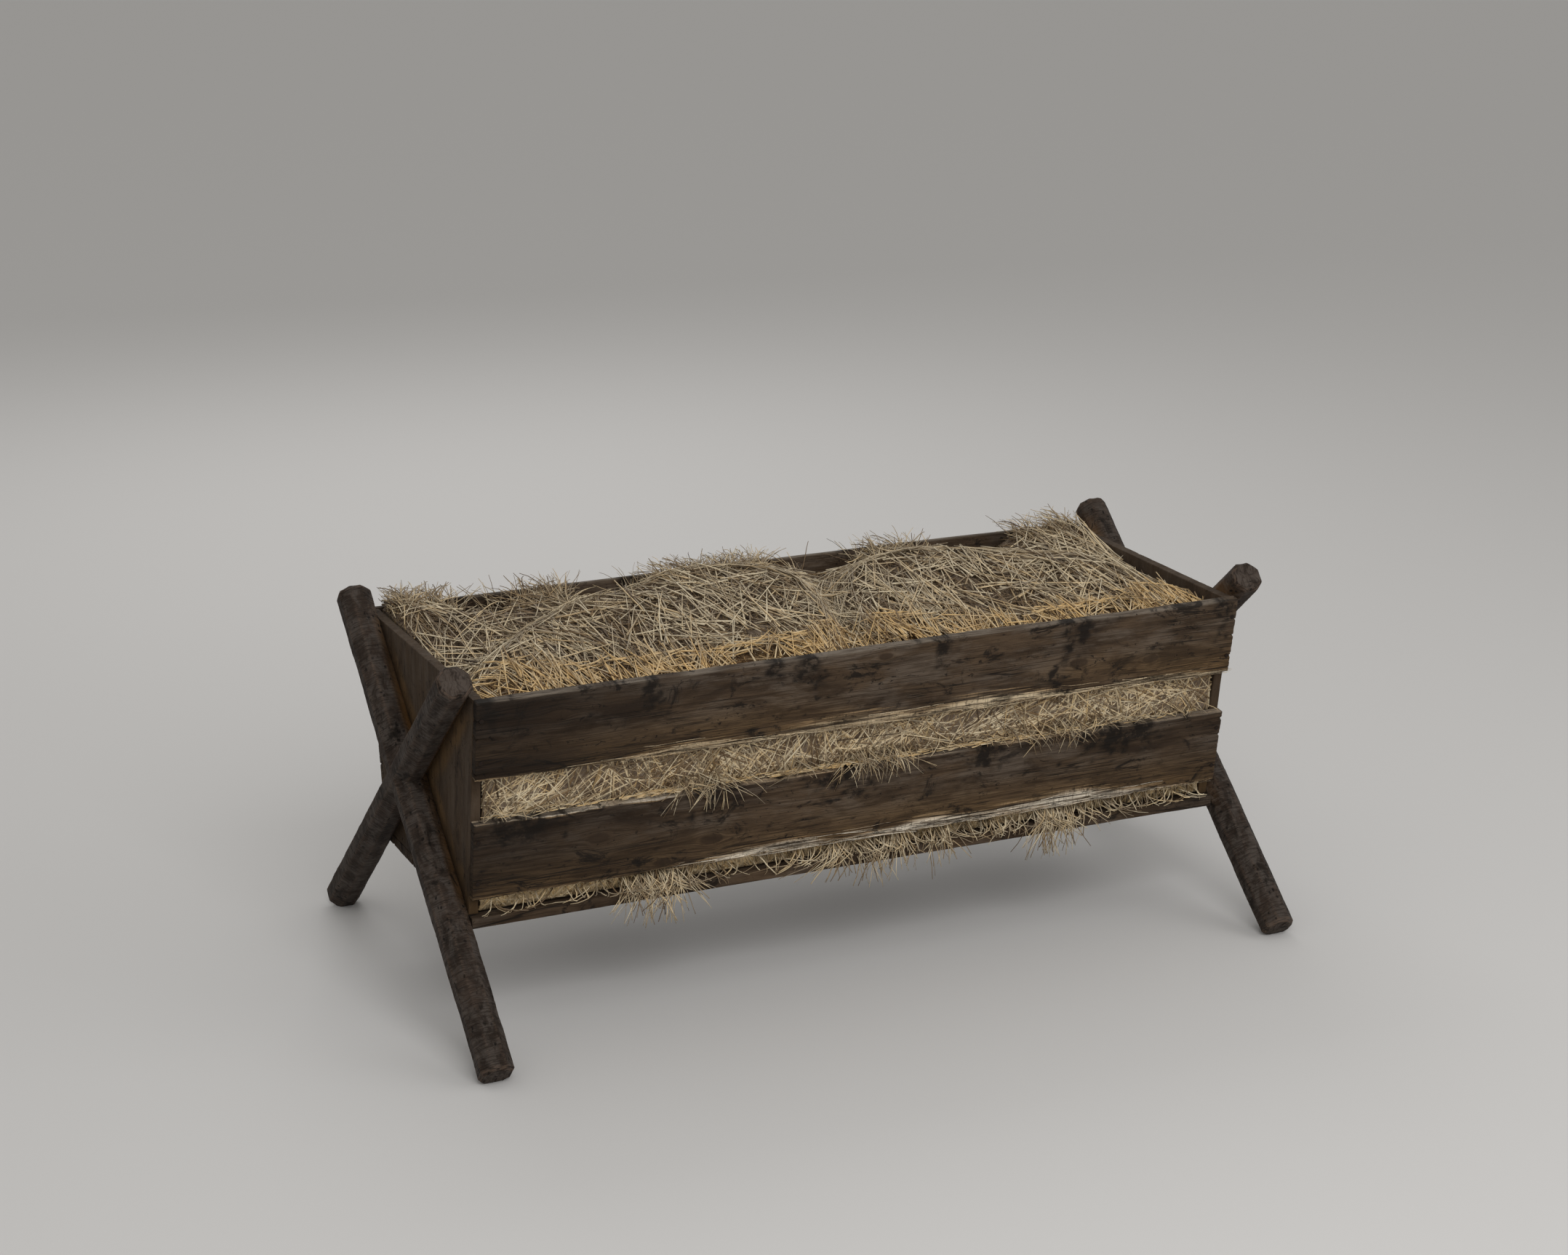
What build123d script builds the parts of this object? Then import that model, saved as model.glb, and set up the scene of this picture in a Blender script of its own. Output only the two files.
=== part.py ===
"""Hay rack feeder: a slatted trough between two solid end boards, carried by two pairs of crossed poles.

Millimetres. X runs along the trough, Y across it from front to back, and Z up.
The origin is on the ground, under the middle of the trough.
"""

import math
import os

from build123d import *

# Driving dimensions of the trough
LENGTH = 1500  # over the outer faces of the two end boards
RIM_HEIGHT = 631  # the end boards' top edge above the ground
BASE_HEIGHT = 200  # the floor boards' underside above the ground
RIM_WIDTH = 627  # over the outer faces of the slats at the rim
BASE_WIDTH = 494  # the same at the floor boards' underside
BOARD = 18  # thickness of the slats and the end boards
SLAT_WIDTH = 150
UPPER_GAP = 83  # between the upper and the lower slat
EDGE_WEAR = 1.5  # radius on the long edges of the boards

# Floor boards, which run under the end boards
FLOOR_THICKNESS = 20
FLOOR_COUNT = 3
FLOOR_GAP = 7

# Poles, crossed and halved at each end
POLE_FACES = 8  # hewn
POLE_WIDTH = 62  # across the flats
POLE_ARRIS = 8  # radius on the long edges between the faces
POLE_END_CHAMFER = 6
FOOT_REACH = 455  # from the middle plane to the centre of a pole's lower end
FOOT_LIFT = 16  # the same point above the ground
HEAD_REACH = 295  # from the middle plane to the centre of a pole's upper end
HEAD_HEIGHT = 667  # the same point above the ground

# Fasteners
PEG_RADIUS = 8
PEG_COVER = 15  # wood left between a peg's blind end and the pole's outer face
NAIL_RADIUS = 1.7
NAIL_HEAD_RADIUS = 4
NAIL_HEAD_THICKNESS = 1.2
NAIL_POINT = 5  # length of the taper
NAIL_TIP_RADIUS = 0.3
SLAT_NAIL_LENGTH = 65
LEG_NAIL_LENGTH = 65
NAIL_EDGE = 35  # from a board's long edge to its nails
LEG_NAIL_SHARES = (0.36, 0.42, 0.82, 0.88)  # how far up its pole each leg nail is

# Hay
HAY_CLEARANCE = 2  # to the slats, and over the floor boards
HAY_END_CLEARANCE = 5  # to the end boards, past the nail heads on their inner faces
HAY_FRONT_DROP = 45  # below the rim at the front slats
HAY_CROWN_RISE = 6  # above the rim at the crown
HAY_BACK_DROP = 6  # below the rim at the back slats
HAY_CROWN_Y = 90  # how far behind the middle plane the crown is

# Worked out from the above
END_X = LENGTH / 2
RISE = RIM_HEIGHT - BASE_HEIGHT
RUN = (RIM_WIDTH - BASE_WIDTH) / 2
SLOPE_LENGTH = math.hypot(RISE, RUN)
DOWN = Vector(0, RUN / SLOPE_LENGTH, -RISE / SLOPE_LENGTH)  # along the front slats, from the rim
INWARD = Vector(0, RISE / SLOPE_LENGTH, RUN / SLOPE_LENGTH)  # into the front slats, at right angles
FLOOR_TOP = BASE_HEIGHT + FLOOR_THICKNESS
POLE_X = END_X + POLE_WIDTH / 2
FOOT = Vector(0, -FOOT_REACH, FOOT_LIFT)  # of a pole that stands at the front
HEAD = Vector(0, HEAD_REACH, HEAD_HEIGHT)
CROSSING_HEIGHT = FOOT_LIFT + (HEAD_HEIGHT - FOOT_LIFT) * FOOT_REACH / (FOOT_REACH + HEAD_REACH)


def outer_half_width(height):
    """From the middle plane to the outer faces of the slats at that height."""
    return BASE_WIDTH / 2 + RUN * (height - BASE_HEIGHT) / RISE


def inner_half_width(height):
    """From the middle plane to the inner faces of the slats at that height."""
    return outer_half_width(height) - BOARD / INWARD.Y


def save(builder, name):
    """Labels a finished piece and writes it as parts/NAME.step."""
    builder.part.label = name
    export_step(builder.part, f"parts/{name}.step")


def on_side(vector, side):
    """A front vector (side 1), or its mirror image at the back (side -1)."""
    return Vector(vector.X, vector.Y * side, vector.Z)


# Crossing pegs and end boards -------------------------------------------------------------------


def crossing_peg(end):
    """The wooden peg at one end (-1 left, 1 right), driven out through the end board into both poles."""
    length = BOARD + POLE_WIDTH - PEG_COVER
    with BuildPart() as peg:
        with Locations((end * (END_X - BOARD + length / 2), 0, CROSSING_HEIGHT)):
            Cylinder(PEG_RADIUS, length, rotation=(0, 90, 0))
    return peg


def end_board(end):
    """The solid board at one end, with the crossing peg's hole."""
    bottom, top = inner_half_width(FLOOR_TOP), inner_half_width(RIM_HEIGHT)
    with BuildPart() as board:
        with BuildSketch(Plane.YZ.offset(end * (END_X - BOARD / 2))):
            with BuildLine():
                Polyline(
                    (-bottom, FLOOR_TOP),
                    (bottom, FLOOR_TOP),
                    (top, RIM_HEIGHT),
                    (-top, RIM_HEIGHT),
                    close=True,
                )
            make_face()
        extrude(amount=BOARD / 2, both=True)
        fillet(board.edges().group_by(Axis.Z)[-1].filter_by(Axis.Y), EDGE_WEAR)
        add(crossing_peg(end).part, mode=Mode.SUBTRACT)
    return board


# Slats ------------------------------------------------------------------------------------------


def slat(side, start):
    """A slat on the front (side 1) or the back (-1), starting that far down from the rim."""
    rim = Vector(0, -RIM_WIDTH / 2, RIM_HEIGHT)
    corners = [
        rim + DOWN * start,
        rim + DOWN * (start + SLAT_WIDTH),
        rim + DOWN * (start + SLAT_WIDTH) + INWARD * BOARD,
        rim + DOWN * start + INWARD * BOARD,
    ]
    with BuildPart() as board:
        with BuildSketch(Plane.YZ.offset(-END_X)):
            with BuildLine():
                Polyline(*[(c.Y * side, c.Z) for c in corners], close=True)
            make_face()
        extrude(amount=LENGTH)
        fillet(board.edges().filter_by(Axis.X), EDGE_WEAR)
    return board


def floor_board(index):
    """One of the lengthwise floor boards, counted from the front."""
    span = 2 * outer_half_width(FLOOR_TOP)
    width = (span - FLOOR_GAP * (FLOOR_COUNT - 1)) / FLOOR_COUNT
    middle = -span / 2 + width / 2 + index * (width + FLOOR_GAP)
    with BuildPart() as board:
        with BuildSketch(Plane.XY.offset(BASE_HEIGHT)):
            with Locations((0, middle)):
                Rectangle(LENGTH, width)
        extrude(amount=FLOOR_THICKNESS)
        fillet(board.edges().filter_by(Axis.X), EDGE_WEAR)
    return board


# Poles ------------------------------------------------------------------------------------------


def whole_pole(end, side):
    """A pole at one end whose foot is at the front (side 1) or the back (-1), before it is halved."""
    foot = on_side(FOOT, side) + Vector(end * POLE_X, 0, 0)
    head = on_side(HEAD, side) + Vector(end * POLE_X, 0, 0)
    length = (head - foot).length
    with BuildPart() as pole:
        with BuildSketch(Plane(origin=foot, x_dir=(1, 0, 0), z_dir=head - foot)) as section:
            RegularPolygon(
                POLE_WIDTH / 2, POLE_FACES, major_radius=False, rotation=180 / POLE_FACES
            )
            fillet(section.vertices(), POLE_ARRIS)
        extrude(amount=length)
        ends = pole.faces().sort_by(lambda face: face.center().Z)
        chamfer(ends[0].edges() + ends[-1].edges(), POLE_END_CHAMFER)
        split(bisect_by=Plane.XY, keep=Keep.TOP)
    return pole


def halved_pole(own, other, end, keeps_outer_half):
    """A pole with the half that the other pole takes at the crossing cut out, and the peg's hole."""
    outer, inner = (Keep.TOP, Keep.BOTTOM) if end > 0 else (Keep.BOTTOM, Keep.TOP)
    with BuildPart() as notch:
        add(other.part)
        split(bisect_by=Plane.YZ.offset(end * POLE_X), keep=inner if keeps_outer_half else outer)
    with BuildPart() as pole:
        add(own.part)
        add(notch.part, mode=Mode.SUBTRACT)
        add(crossing_peg(end).part, mode=Mode.SUBTRACT)
    return pole


# Nails ------------------------------------------------------------------------------------------


def nails(length, places):
    """A group of nails, each driven at a point on a surface in a direction."""
    with BuildPart() as nail:
        Cylinder(NAIL_RADIUS, length - NAIL_POINT, align=(Align.CENTER, Align.CENTER, Align.MIN))
        Cylinder(
            NAIL_HEAD_RADIUS, NAIL_HEAD_THICKNESS, align=(Align.CENTER, Align.CENTER, Align.MAX)
        )
        with Locations((0, 0, length - NAIL_POINT)):
            Cone(NAIL_RADIUS, NAIL_TIP_RADIUS, NAIL_POINT, align=(Align.CENTER, Align.CENTER, Align.MIN))
    with BuildPart() as group:
        with Locations(*[Plane(origin=point, z_dir=way).location for point, way in places]):
            add(nail.part)
    return group


def slat_nail_places(side):
    """Two nails at each end of both slats on one side, into the end boards' edges."""
    places = []
    for start in (0, SLAT_WIDTH + UPPER_GAP):
        for down in (start + NAIL_EDGE, start + SLAT_WIDTH - NAIL_EDGE):
            front = Vector(0, -RIM_WIDTH / 2, RIM_HEIGHT) + DOWN * down
            for end in (-1, 1):
                point = on_side(front, side) + Vector(end * (END_X - BOARD / 2), 0, 0)
                places.append((point, on_side(INWARD, side)))
    return places


def floor_nail_places():
    """Two nails at each end of each floor board, up into the end boards."""
    span = 2 * outer_half_width(FLOOR_TOP)
    pitch = (span + FLOOR_GAP) / FLOOR_COUNT
    first = -pitch * (FLOOR_COUNT - 1) / 2
    return [
        (Vector(end * (END_X - BOARD / 2), first + index * pitch + offset, BASE_HEIGHT), Vector(0, 0, 1))
        for end in (-1, 1)
        for index in range(FLOOR_COUNT)
        for offset in (-NAIL_EDGE, NAIL_EDGE)
    ]


def leg_nail_places(end):
    """Two nails into each arm of each pole, from the end board's inner face outwards."""
    places = []
    for side in (1, -1):
        foot, head = on_side(FOOT, side), on_side(HEAD, side)
        for share in LEG_NAIL_SHARES:
            point = foot + (head - foot) * share + Vector(end * (END_X - BOARD), 0, 0)
            places.append((point, Vector(end, 0, 0)))
    return places


# Hay --------------------------------------------------------------------------------------------


def hay_fill():
    """The charge of hay: it fills the trough, low at the front slats and crowned behind the middle."""
    bottom = FLOOR_TOP + HAY_CLEARANCE
    front_top = RIM_HEIGHT - HAY_FRONT_DROP
    back_top = RIM_HEIGHT - HAY_BACK_DROP
    foot = inner_half_width(bottom) - HAY_CLEARANCE
    front = inner_half_width(front_top) - HAY_CLEARANCE
    back = inner_half_width(back_top) - HAY_CLEARANCE
    half_length = END_X - BOARD - HAY_END_CLEARANCE
    with BuildPart() as hay:
        with BuildSketch(Plane.YZ.offset(-half_length)):
            with BuildLine():
                Polyline((-front, front_top), (-foot, bottom), (foot, bottom), (back, back_top))
                Spline(
                    (back, back_top),
                    (HAY_CROWN_Y, RIM_HEIGHT + HAY_CROWN_RISE),
                    (-front, front_top),
                )
            make_face()
        extrude(amount=2 * half_length)
    return hay


os.makedirs("parts", exist_ok=True)

for end, end_name in ((-1, "left"), (1, "right")):
    save(end_board(end), f"{end_name}_end_board")
    front_pole, back_pole = whole_pole(end, 1), whole_pole(end, -1)
    save(halved_pole(front_pole, back_pole, end, True), f"{end_name}_front_leg")
    save(halved_pole(back_pole, front_pole, end, False), f"{end_name}_back_leg")
    save(crossing_peg(end), f"{end_name}_crossing_peg")
    save(nails(LEG_NAIL_LENGTH, leg_nail_places(end)), f"{end_name}_leg_nails")

for side, side_name in ((1, "front"), (-1, "back")):
    save(slat(side, 0), f"{side_name}_upper_slat")
    save(slat(side, SLAT_WIDTH + UPPER_GAP), f"{side_name}_lower_slat")
    save(nails(SLAT_NAIL_LENGTH, slat_nail_places(side)), f"{side_name}_slat_nails")

for index, place in enumerate(("front", "middle", "back")):
    save(floor_board(index), f"floor_board_{place}")
save(nails(SLAT_NAIL_LENGTH, floor_nail_places()), "floor_nails")
save(hay_fill(), "hay_fill")
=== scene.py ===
"""Looks of the hay rack feeder: weathered boards, hewn poles, rusty nails and a trough full of loose hay.

Metres. X runs along the trough, Y from its front to its back, and Z up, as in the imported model.
"""
import math
from functools import partialmethod

import bpy
import numpy as np
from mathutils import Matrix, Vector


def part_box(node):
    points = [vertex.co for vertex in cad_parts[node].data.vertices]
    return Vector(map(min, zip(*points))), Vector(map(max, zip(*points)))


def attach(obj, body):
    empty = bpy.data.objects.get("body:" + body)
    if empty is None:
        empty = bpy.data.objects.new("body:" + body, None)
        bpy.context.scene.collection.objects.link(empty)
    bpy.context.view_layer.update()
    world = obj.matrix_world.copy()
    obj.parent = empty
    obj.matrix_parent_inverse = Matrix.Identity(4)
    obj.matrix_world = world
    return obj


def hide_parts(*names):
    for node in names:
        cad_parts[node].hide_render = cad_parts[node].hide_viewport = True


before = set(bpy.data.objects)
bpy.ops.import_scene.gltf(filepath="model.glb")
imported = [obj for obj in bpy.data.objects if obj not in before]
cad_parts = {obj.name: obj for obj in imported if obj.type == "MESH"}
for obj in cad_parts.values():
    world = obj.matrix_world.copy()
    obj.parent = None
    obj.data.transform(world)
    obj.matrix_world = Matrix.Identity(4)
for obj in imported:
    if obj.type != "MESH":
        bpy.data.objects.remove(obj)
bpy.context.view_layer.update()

RANDOM = np.random.default_rng(20)
uniform, normal, chance = RANDOM.uniform, RANDOM.normal, RANDOM.random

# Camera, light and floor
CAMERA_PLACE = (-2.2502, -4.83, 2.1886)
CAMERA_YAW = -24.57  # degrees about Z
CAMERA_DIP = 16.76  # degrees below the horizon
CAMERA_LENS = 68.39  # on a 36 mm sensor
LAMPS = {"key": ((-0.8, -4.0, 3.4), 99), "fill": ((3.5, -2.5, 2.6), 28.5), "back": ((0.5, 4.0, 3.5), 47)}
LAMP_SIZE, LAMP_TARGET = 3.0, (0, 0, 0.4)
SKY_COLOUR, SKY_STRENGTH = (0.66, 0.65, 0.63), 0.72
FLOOR_COLOUR, FLOOR_SIZE = (0.62, 0.61, 0.6), 60

# Colours, linear
BOARD_DARK, BOARD_MIDDLE, BOARD_GREY = (0.026, 0.015, 0.0078), (0.088, 0.056, 0.032), (0.122, 0.093, 0.069)
BOARD_PALE, BOARD_STRAW, BOARD_TAN = (0.84, 0.76, 0.63), (0.72, 0.57, 0.36), (0.36, 0.24, 0.125)
# The second colour on the next line is a painted highlight along the boards' upper edges.
BOARD_GLOW, BOARD_RIM_HIGHLIGHT, MOULD = (0.14, 0.082, 0.034), (0.17, 0.14, 0.11), (0.008, 0.005, 0.003)
BOARD_SHADE, BOARD_PLAIN = (0.012, 0.0065, 0.0033), (0.048, 0.031, 0.018)
POLE_DARK, POLE_MIDDLE, POLE_GREY = (0.016, 0.01, 0.0065), (0.042, 0.028, 0.02), (0.068, 0.055, 0.046)
POLE_WARM, POLE_EDGE = (0.19, 0.092, 0.025), (0.1, 0.066, 0.046)
RUST_DARK, RUST_LIGHT = (0.009, 0.0065, 0.005), (0.024, 0.013, 0.008)
PEG_DARK, PEG_LIGHT = (0.11, 0.065, 0.035), (0.2, 0.13, 0.075)
STRAW_PALE, STRAW_GOLD, STRAW_GREY = (0.68, 0.58, 0.405), (0.72, 0.49, 0.215), (0.3, 0.24, 0.165)
STRAW_BROWN, STRAW_DARK, GOLD_DARK = (0.16, 0.105, 0.056), (0.05, 0.032, 0.019), (0.13, 0.066, 0.022)
# The first two colours on the next line are painted shade for the hay's depths among the straws.
HAY_SHADE_DARK, HAY_SHADE_LIGHT, HAY_WARM = (0.1, 0.07, 0.049), (0.185, 0.14, 0.104), (0.115, 0.055, 0.018)


# --- Noise and meshes ---


def lattice(places, seed):
    """A repeatable value from -1 to 1 for each row of three whole numbers."""
    i, j, k = places.astype(np.int64).astype(np.uint64).T
    n = i * np.uint64(374761393) + j * np.uint64(668265263) + k * np.uint64(2147483647)
    n = n + np.uint64(seed * 144665 + 7)
    for shift, factor in ((13, 1274126177), (16, 2246822519), (15, 3266489917)):
        n = (n ^ (n >> np.uint64(shift))) * np.uint64(factor) & np.uint64(0xFFFFFFFF)
    return n.astype(float) / 0x7FFFFFFF - 1


def noise(points, size, seed):
    """Smooth noise from -1 to 1 at each point, in features of the given size along each axis."""
    places = np.asarray(points) / size
    low = np.floor(places)
    share = places - low
    share = share * share * (3 - 2 * share)
    total = np.zeros(len(places))
    for corner in np.ndindex(2, 2, 2):
        weight = np.prod(np.where(corner, share, 1 - share), axis=1)
        total += weight * lattice(low + corner, seed)
    return total


def layered(points, size, seed, count=3):
    """Noise with finer noise on it, each layer half as large and half as strong as the last."""
    size = np.asarray(size, float)
    return sum(noise(points, size / 2**n, seed + n) / 2**n for n in range(count))


def ramp(values, start, end):
    """0 below start, 1 above end, and smooth between them."""
    share = np.clip((values - start) / (end - start), 0, 1)
    return share * share * (3 - 2 * share)


def bump(values, middle, width):
    """1 at the middle, falling off to both sides."""
    return np.exp(-(((values - middle) / width) ** 2))


def unit(vectors):
    """The same directions, one unit long."""
    return vectors / np.maximum(np.linalg.norm(vectors, axis=-1, keepdims=True), 1e-12)


def ring_faces(index):
    """The faces between each closed ring of points and the next."""
    turned = np.roll(index, -1, -1)
    low, high = index[..., :-1, :], index[..., 1:, :]
    return np.stack([low, turned[..., :-1, :], turned[..., 1:, :], high], -1).reshape(-1, 4)


def fan_faces(ring, centre):
    """The triangles between a closed ring of points and one point."""
    return np.stack([ring, np.roll(ring, -1), np.full(len(ring), centre)], -1)


def add_object(name, data):
    """A new object in the scene."""
    made = bpy.data.objects.new(name, data)
    bpy.context.scene.collection.objects.link(made)
    return made


def mesh_piece(name, points, faces, material, body, slot, replaces=(), **attributes):
    """A smooth mesh from arrays of points and of faces, with values at its points, riding on a body."""
    mesh = bpy.data.meshes.new(name)
    mesh.vertices.add(len(points))
    mesh.vertices.foreach_set("co", np.asarray(points, np.float32).ravel())
    sizes = np.concatenate([np.full(len(f), f.shape[1]) for f in faces])
    mesh.loops.add(int(sizes.sum()))
    mesh.loops.foreach_set("vertex_index", np.concatenate([f.ravel() for f in faces]).astype(np.int32))
    mesh.polygons.add(len(sizes))
    mesh.polygons.foreach_set("loop_start", (np.cumsum(sizes) - sizes).astype(np.int32))
    mesh.update(calc_edges=True)
    mesh.validate()
    mesh.shade_smooth()
    for key, values in attributes.items():
        kind, field = ("FLOAT_VECTOR", "vector") if np.ndim(values) == 2 else ("FLOAT", "value")
        attribute = mesh.attributes.new(key, kind, "POINT")
        attribute.data.foreach_set(field, np.asarray(values, np.float32).ravel())
    mesh.materials.append(material)
    piece = add_object(name, mesh)
    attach(piece, body)
    if replaces:
        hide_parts(*replaces)
    return piece


def cad_points(node):
    """The points of a CAD node's mesh."""
    return np.array([v.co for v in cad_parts[node].data.vertices])


# --- Materials ---


class Shader:
    """A short way to write a material's nodes."""

    def __init__(self, name):
        self.material = bpy.data.materials.new(name)
        self.material.use_nodes = True
        self.tree = self.material.node_tree
        self.surface = self.tree.nodes["Principled BSDF"]

    def feed(self, node, inputs):
        """Sets a node's inputs, or links them where they are given sockets."""
        for key, value in inputs.items():
            if isinstance(value, bpy.types.NodeSocket):
                self.tree.links.new(value, node.inputs[key])
            else:
                node.inputs[key].default_value = value
        return node

    def node(self, kind, inputs, **settings):
        made = self.tree.nodes.new("ShaderNode" + kind)
        for key, value in settings.items():
            setattr(made, key, value)
        return self.feed(made, inputs)

    def vector(self, name):
        return self.node("Attribute", {}, attribute_name=name).outputs["Vector"]

    def value(self, name):
        return self.node("Attribute", {}, attribute_name=name).outputs["Fac"]

    def place(self):
        """The place on the object, in metres."""
        return self.node("TexCoord", {}).outputs["Object"]

    def moved(self, vector, scale, shift):
        """The vector scaled along each axis, then shifted."""
        inputs = {0: vector, 1: scale, 2: shift}
        return self.node("VectorMath", inputs, operation="MULTIPLY_ADD").outputs[0]

    def noise(self, vector, scale, detail=3.0, roughness=0.55, warp=0.0, shift=(0, 0, 0), turn=0.0):
        """Noise from about 0.25 to 0.75, with that many features to the metre along each axis.

        The axes are turned about the third one first.
        """
        if turn:
            inputs = {"Vector": vector, "Rotation": (0, 0, turn)}
            vector = self.node("Mapping", inputs).outputs[0]
        inputs = {"Vector": self.moved(vector, scale, shift), "Scale": 1.0}
        inputs |= {"Detail": detail, "Roughness": roughness, "Distortion": warp}
        return self.node("TexNoise", inputs).outputs[0]

    def bent(self, vector, scale, reach):
        """The vector moved about by up to reach, in waves of that many to the metre."""
        inputs = {"Vector": vector, "Scale": scale, "Detail": 2.0}
        waves = self.node("TexNoise", inputs).outputs["Color"]
        return self.moved(waves, (reach, reach, reach), vector)

    def cells(self, vector, scale):
        """The distance to the nearest of scattered points."""
        inputs = {"Vector": self.moved(vector, scale, (0, 0, 0)), "Scale": 1.0}
        return self.node("TexVoronoi", inputs).outputs["Distance"]

    def ramp(self, value, start, end, low=0.0, high=1.0):
        """low below start, high above end, and smooth between them."""
        inputs = {"Value": value, "From Min": start, "From Max": end, "To Min": low, "To Max": high}
        return self.node("MapRange", inputs, interpolation_type="SMOOTHSTEP").outputs[0]

    def maths(self, operation, first, *others):
        """The first value with each other one added to it, taken from it, and so on."""
        for other in others:
            first = self.node("Math", {0: first, 1: other}, operation=operation).outputs[0]
        return first

    plus = partialmethod(maths, "ADD")
    less = partialmethod(maths, "SUBTRACT")
    times = partialmethod(maths, "MULTIPLY")

    def mix(self, share, a, b):
        """Colour a, going to colour b as share goes from 0 to 1."""
        a, b = (colour if isinstance(colour, bpy.types.NodeSocket) else (*colour, 1) for colour in (a, b))
        return self.node("Mix", {0: share, 6: a, 7: b}, data_type="RGBA").outputs[2]

    def coats(self, colour, *coats):
        """The colour under coats of other colours, each given as how much of it covers, and its colour."""
        for share, paint in coats:
            colour = self.mix(share, colour, paint)
        return colour

    def finish(self, colour, roughness, height, depth, specular):
        """Feeds the surface: height is raised by depth metres where it is 1."""
        bumps = self.node("Bump", {"Height": height, "Strength": 1.0, "Distance": depth})
        inputs = {"Base Color": colour, "Roughness": roughness, "Specular IOR Level": specular}
        self.feed(self.surface, inputs | {"Normal": bumps.outputs[0]})
        return self.material


def board_material():
    """Old sawn softwood gone brown and grey, with mould, pits, cracks, a pale frayed lower edge and a painted
    highlight along its upper edge.
    """
    s = Shader("weathered_board")
    grain = s.vector("grain")  # along, across and through the board
    broad = s.noise(grain, (5, 17, 16), 4, 0.62, 0.5)
    clouds = s.noise(grain, (9, 26, 12), 5, 0.66, 0.4, (5, 2, 7))
    streaks = s.noise(grain, (6, 130, 60), 4, 0.6, 0.3, (3, 1, 0))
    fine = s.noise(grain, (16, 560, 260), 3, 0.6, 0.2, (7, 0, 2))
    fibres = s.noise(grain, (9, 480, 240), 4, 0.65, 0.12, (2, 0, 5))
    breaks = s.noise(grain, (260, 24, 20), 2, 0.6)
    cracks = s.noise(grain, (2.6, 105, 40), 2, 0.45, 0.5, (1, 5, 3))
    crack_places = s.noise(grain, (4, 12, 9), 2, 0.5, 0.0, (6, 3, 1))
    blotches = s.noise(grain, (13, 21, 12), 6, 0.74, 0.7, (0, 9, 4))
    runs = s.noise(grain, (46, 50, 9), 4, 0.7)
    pits = s.noise(grain, (62, 105, 60), 5, 0.75, 0.6, (4, 1, 2))
    pit_places = s.noise(grain, (8, 22, 9), 2, 0.5, 0.0, (4, 4, 8))
    pale, plain = s.value("pale"), s.value("plain")
    clear, blotched = s.ramp(plain, 0, 1, 1.0, 0.22), s.ramp(plain, 0, 1, 1.0, 0.55)
    torn = s.ramp(s.plus(fibres, s.times(pale, 0.42)), 0.56, 0.8)
    torn = s.times(torn, s.ramp(pale, 0.0, 0.2), s.ramp(streaks, 0.4, 0.52, 0.12, 1.0))
    torn = s.times(torn, s.ramp(breaks, 0.38, 0.46, 0.62, 1.0))
    bare = s.mix(s.value("white"), BOARD_STRAW, BOARD_PALE)
    lines = s.ramp(s.maths("ABSOLUTE", s.less(cracks, 0.5), 0.0), 0.006, 0.022, 1.0, 0.0)
    opened = s.plus(s.value("cracked"), s.ramp(crack_places, 0.52, 0.66, -0.15, 0.6))
    lines = s.times(lines, clear, s.ramp(opened, 0.1, 0.6, 0.0, 0.85))
    mould = s.times(s.ramp(blotches, 0.545, 0.64, 0, 0.9), blotched, s.ramp(broad, 0.34, 0.5, 0.3, 1.0))
    holes = s.times(s.ramp(pits, 0.605, 0.68, 0.0, 0.95), s.ramp(pit_places, 0.44, 0.55))
    colour = s.coats(
        s.mix(s.ramp(broad, 0.34, 0.62), BOARD_DARK, BOARD_MIDDLE),
        (s.ramp(clouds, 0.42, 0.64, 0, 0.8), BOARD_GREY),
        (s.times(plain, 0.6), BOARD_PLAIN),
        (s.times(s.value("glow"), s.ramp(clouds, 0.38, 0.6, 0.3, 0.9)), BOARD_GLOW),
        (s.times(s.ramp(streaks, 0.36, 0.52, 0.55, 0.0), clear), BOARD_DARK),
        (s.times(s.ramp(fine, 0.36, 0.56, 0.6, 0.0), clear), BOARD_DARK),
        (s.times(s.value("shade"), 0.93), BOARD_SHADE),
        (torn, s.mix(s.ramp(pale, 0.35, 0.95), BOARD_TAN, bare)),
        (lines, MOULD),
        # Painted highlight: a paler line along the board's upper edge.
        (s.times(s.value("rim"), s.ramp(fine, 0.34, 0.6, 0.2, 0.9)), BOARD_RIM_HIGHLIGHT),
        (mould, MOULD),
        (s.times(s.value("stain"), s.ramp(runs, 0.38, 0.54, 0.2, 0.95)), MOULD),
        (holes, MOULD),
        (s.ramp(s.value("knot"), 0.75, 1.15, 0.75, 0.0), BOARD_DARK),
    )
    height = s.less(s.plus(fine, s.times(streaks, 1.2, clear)), s.plus(s.times(holes, 1.5), lines))
    return s.finish(colour, s.ramp(streaks, 0.3, 0.7, 0.95, 0.75), height, 0.0014, 0.22)


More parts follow.
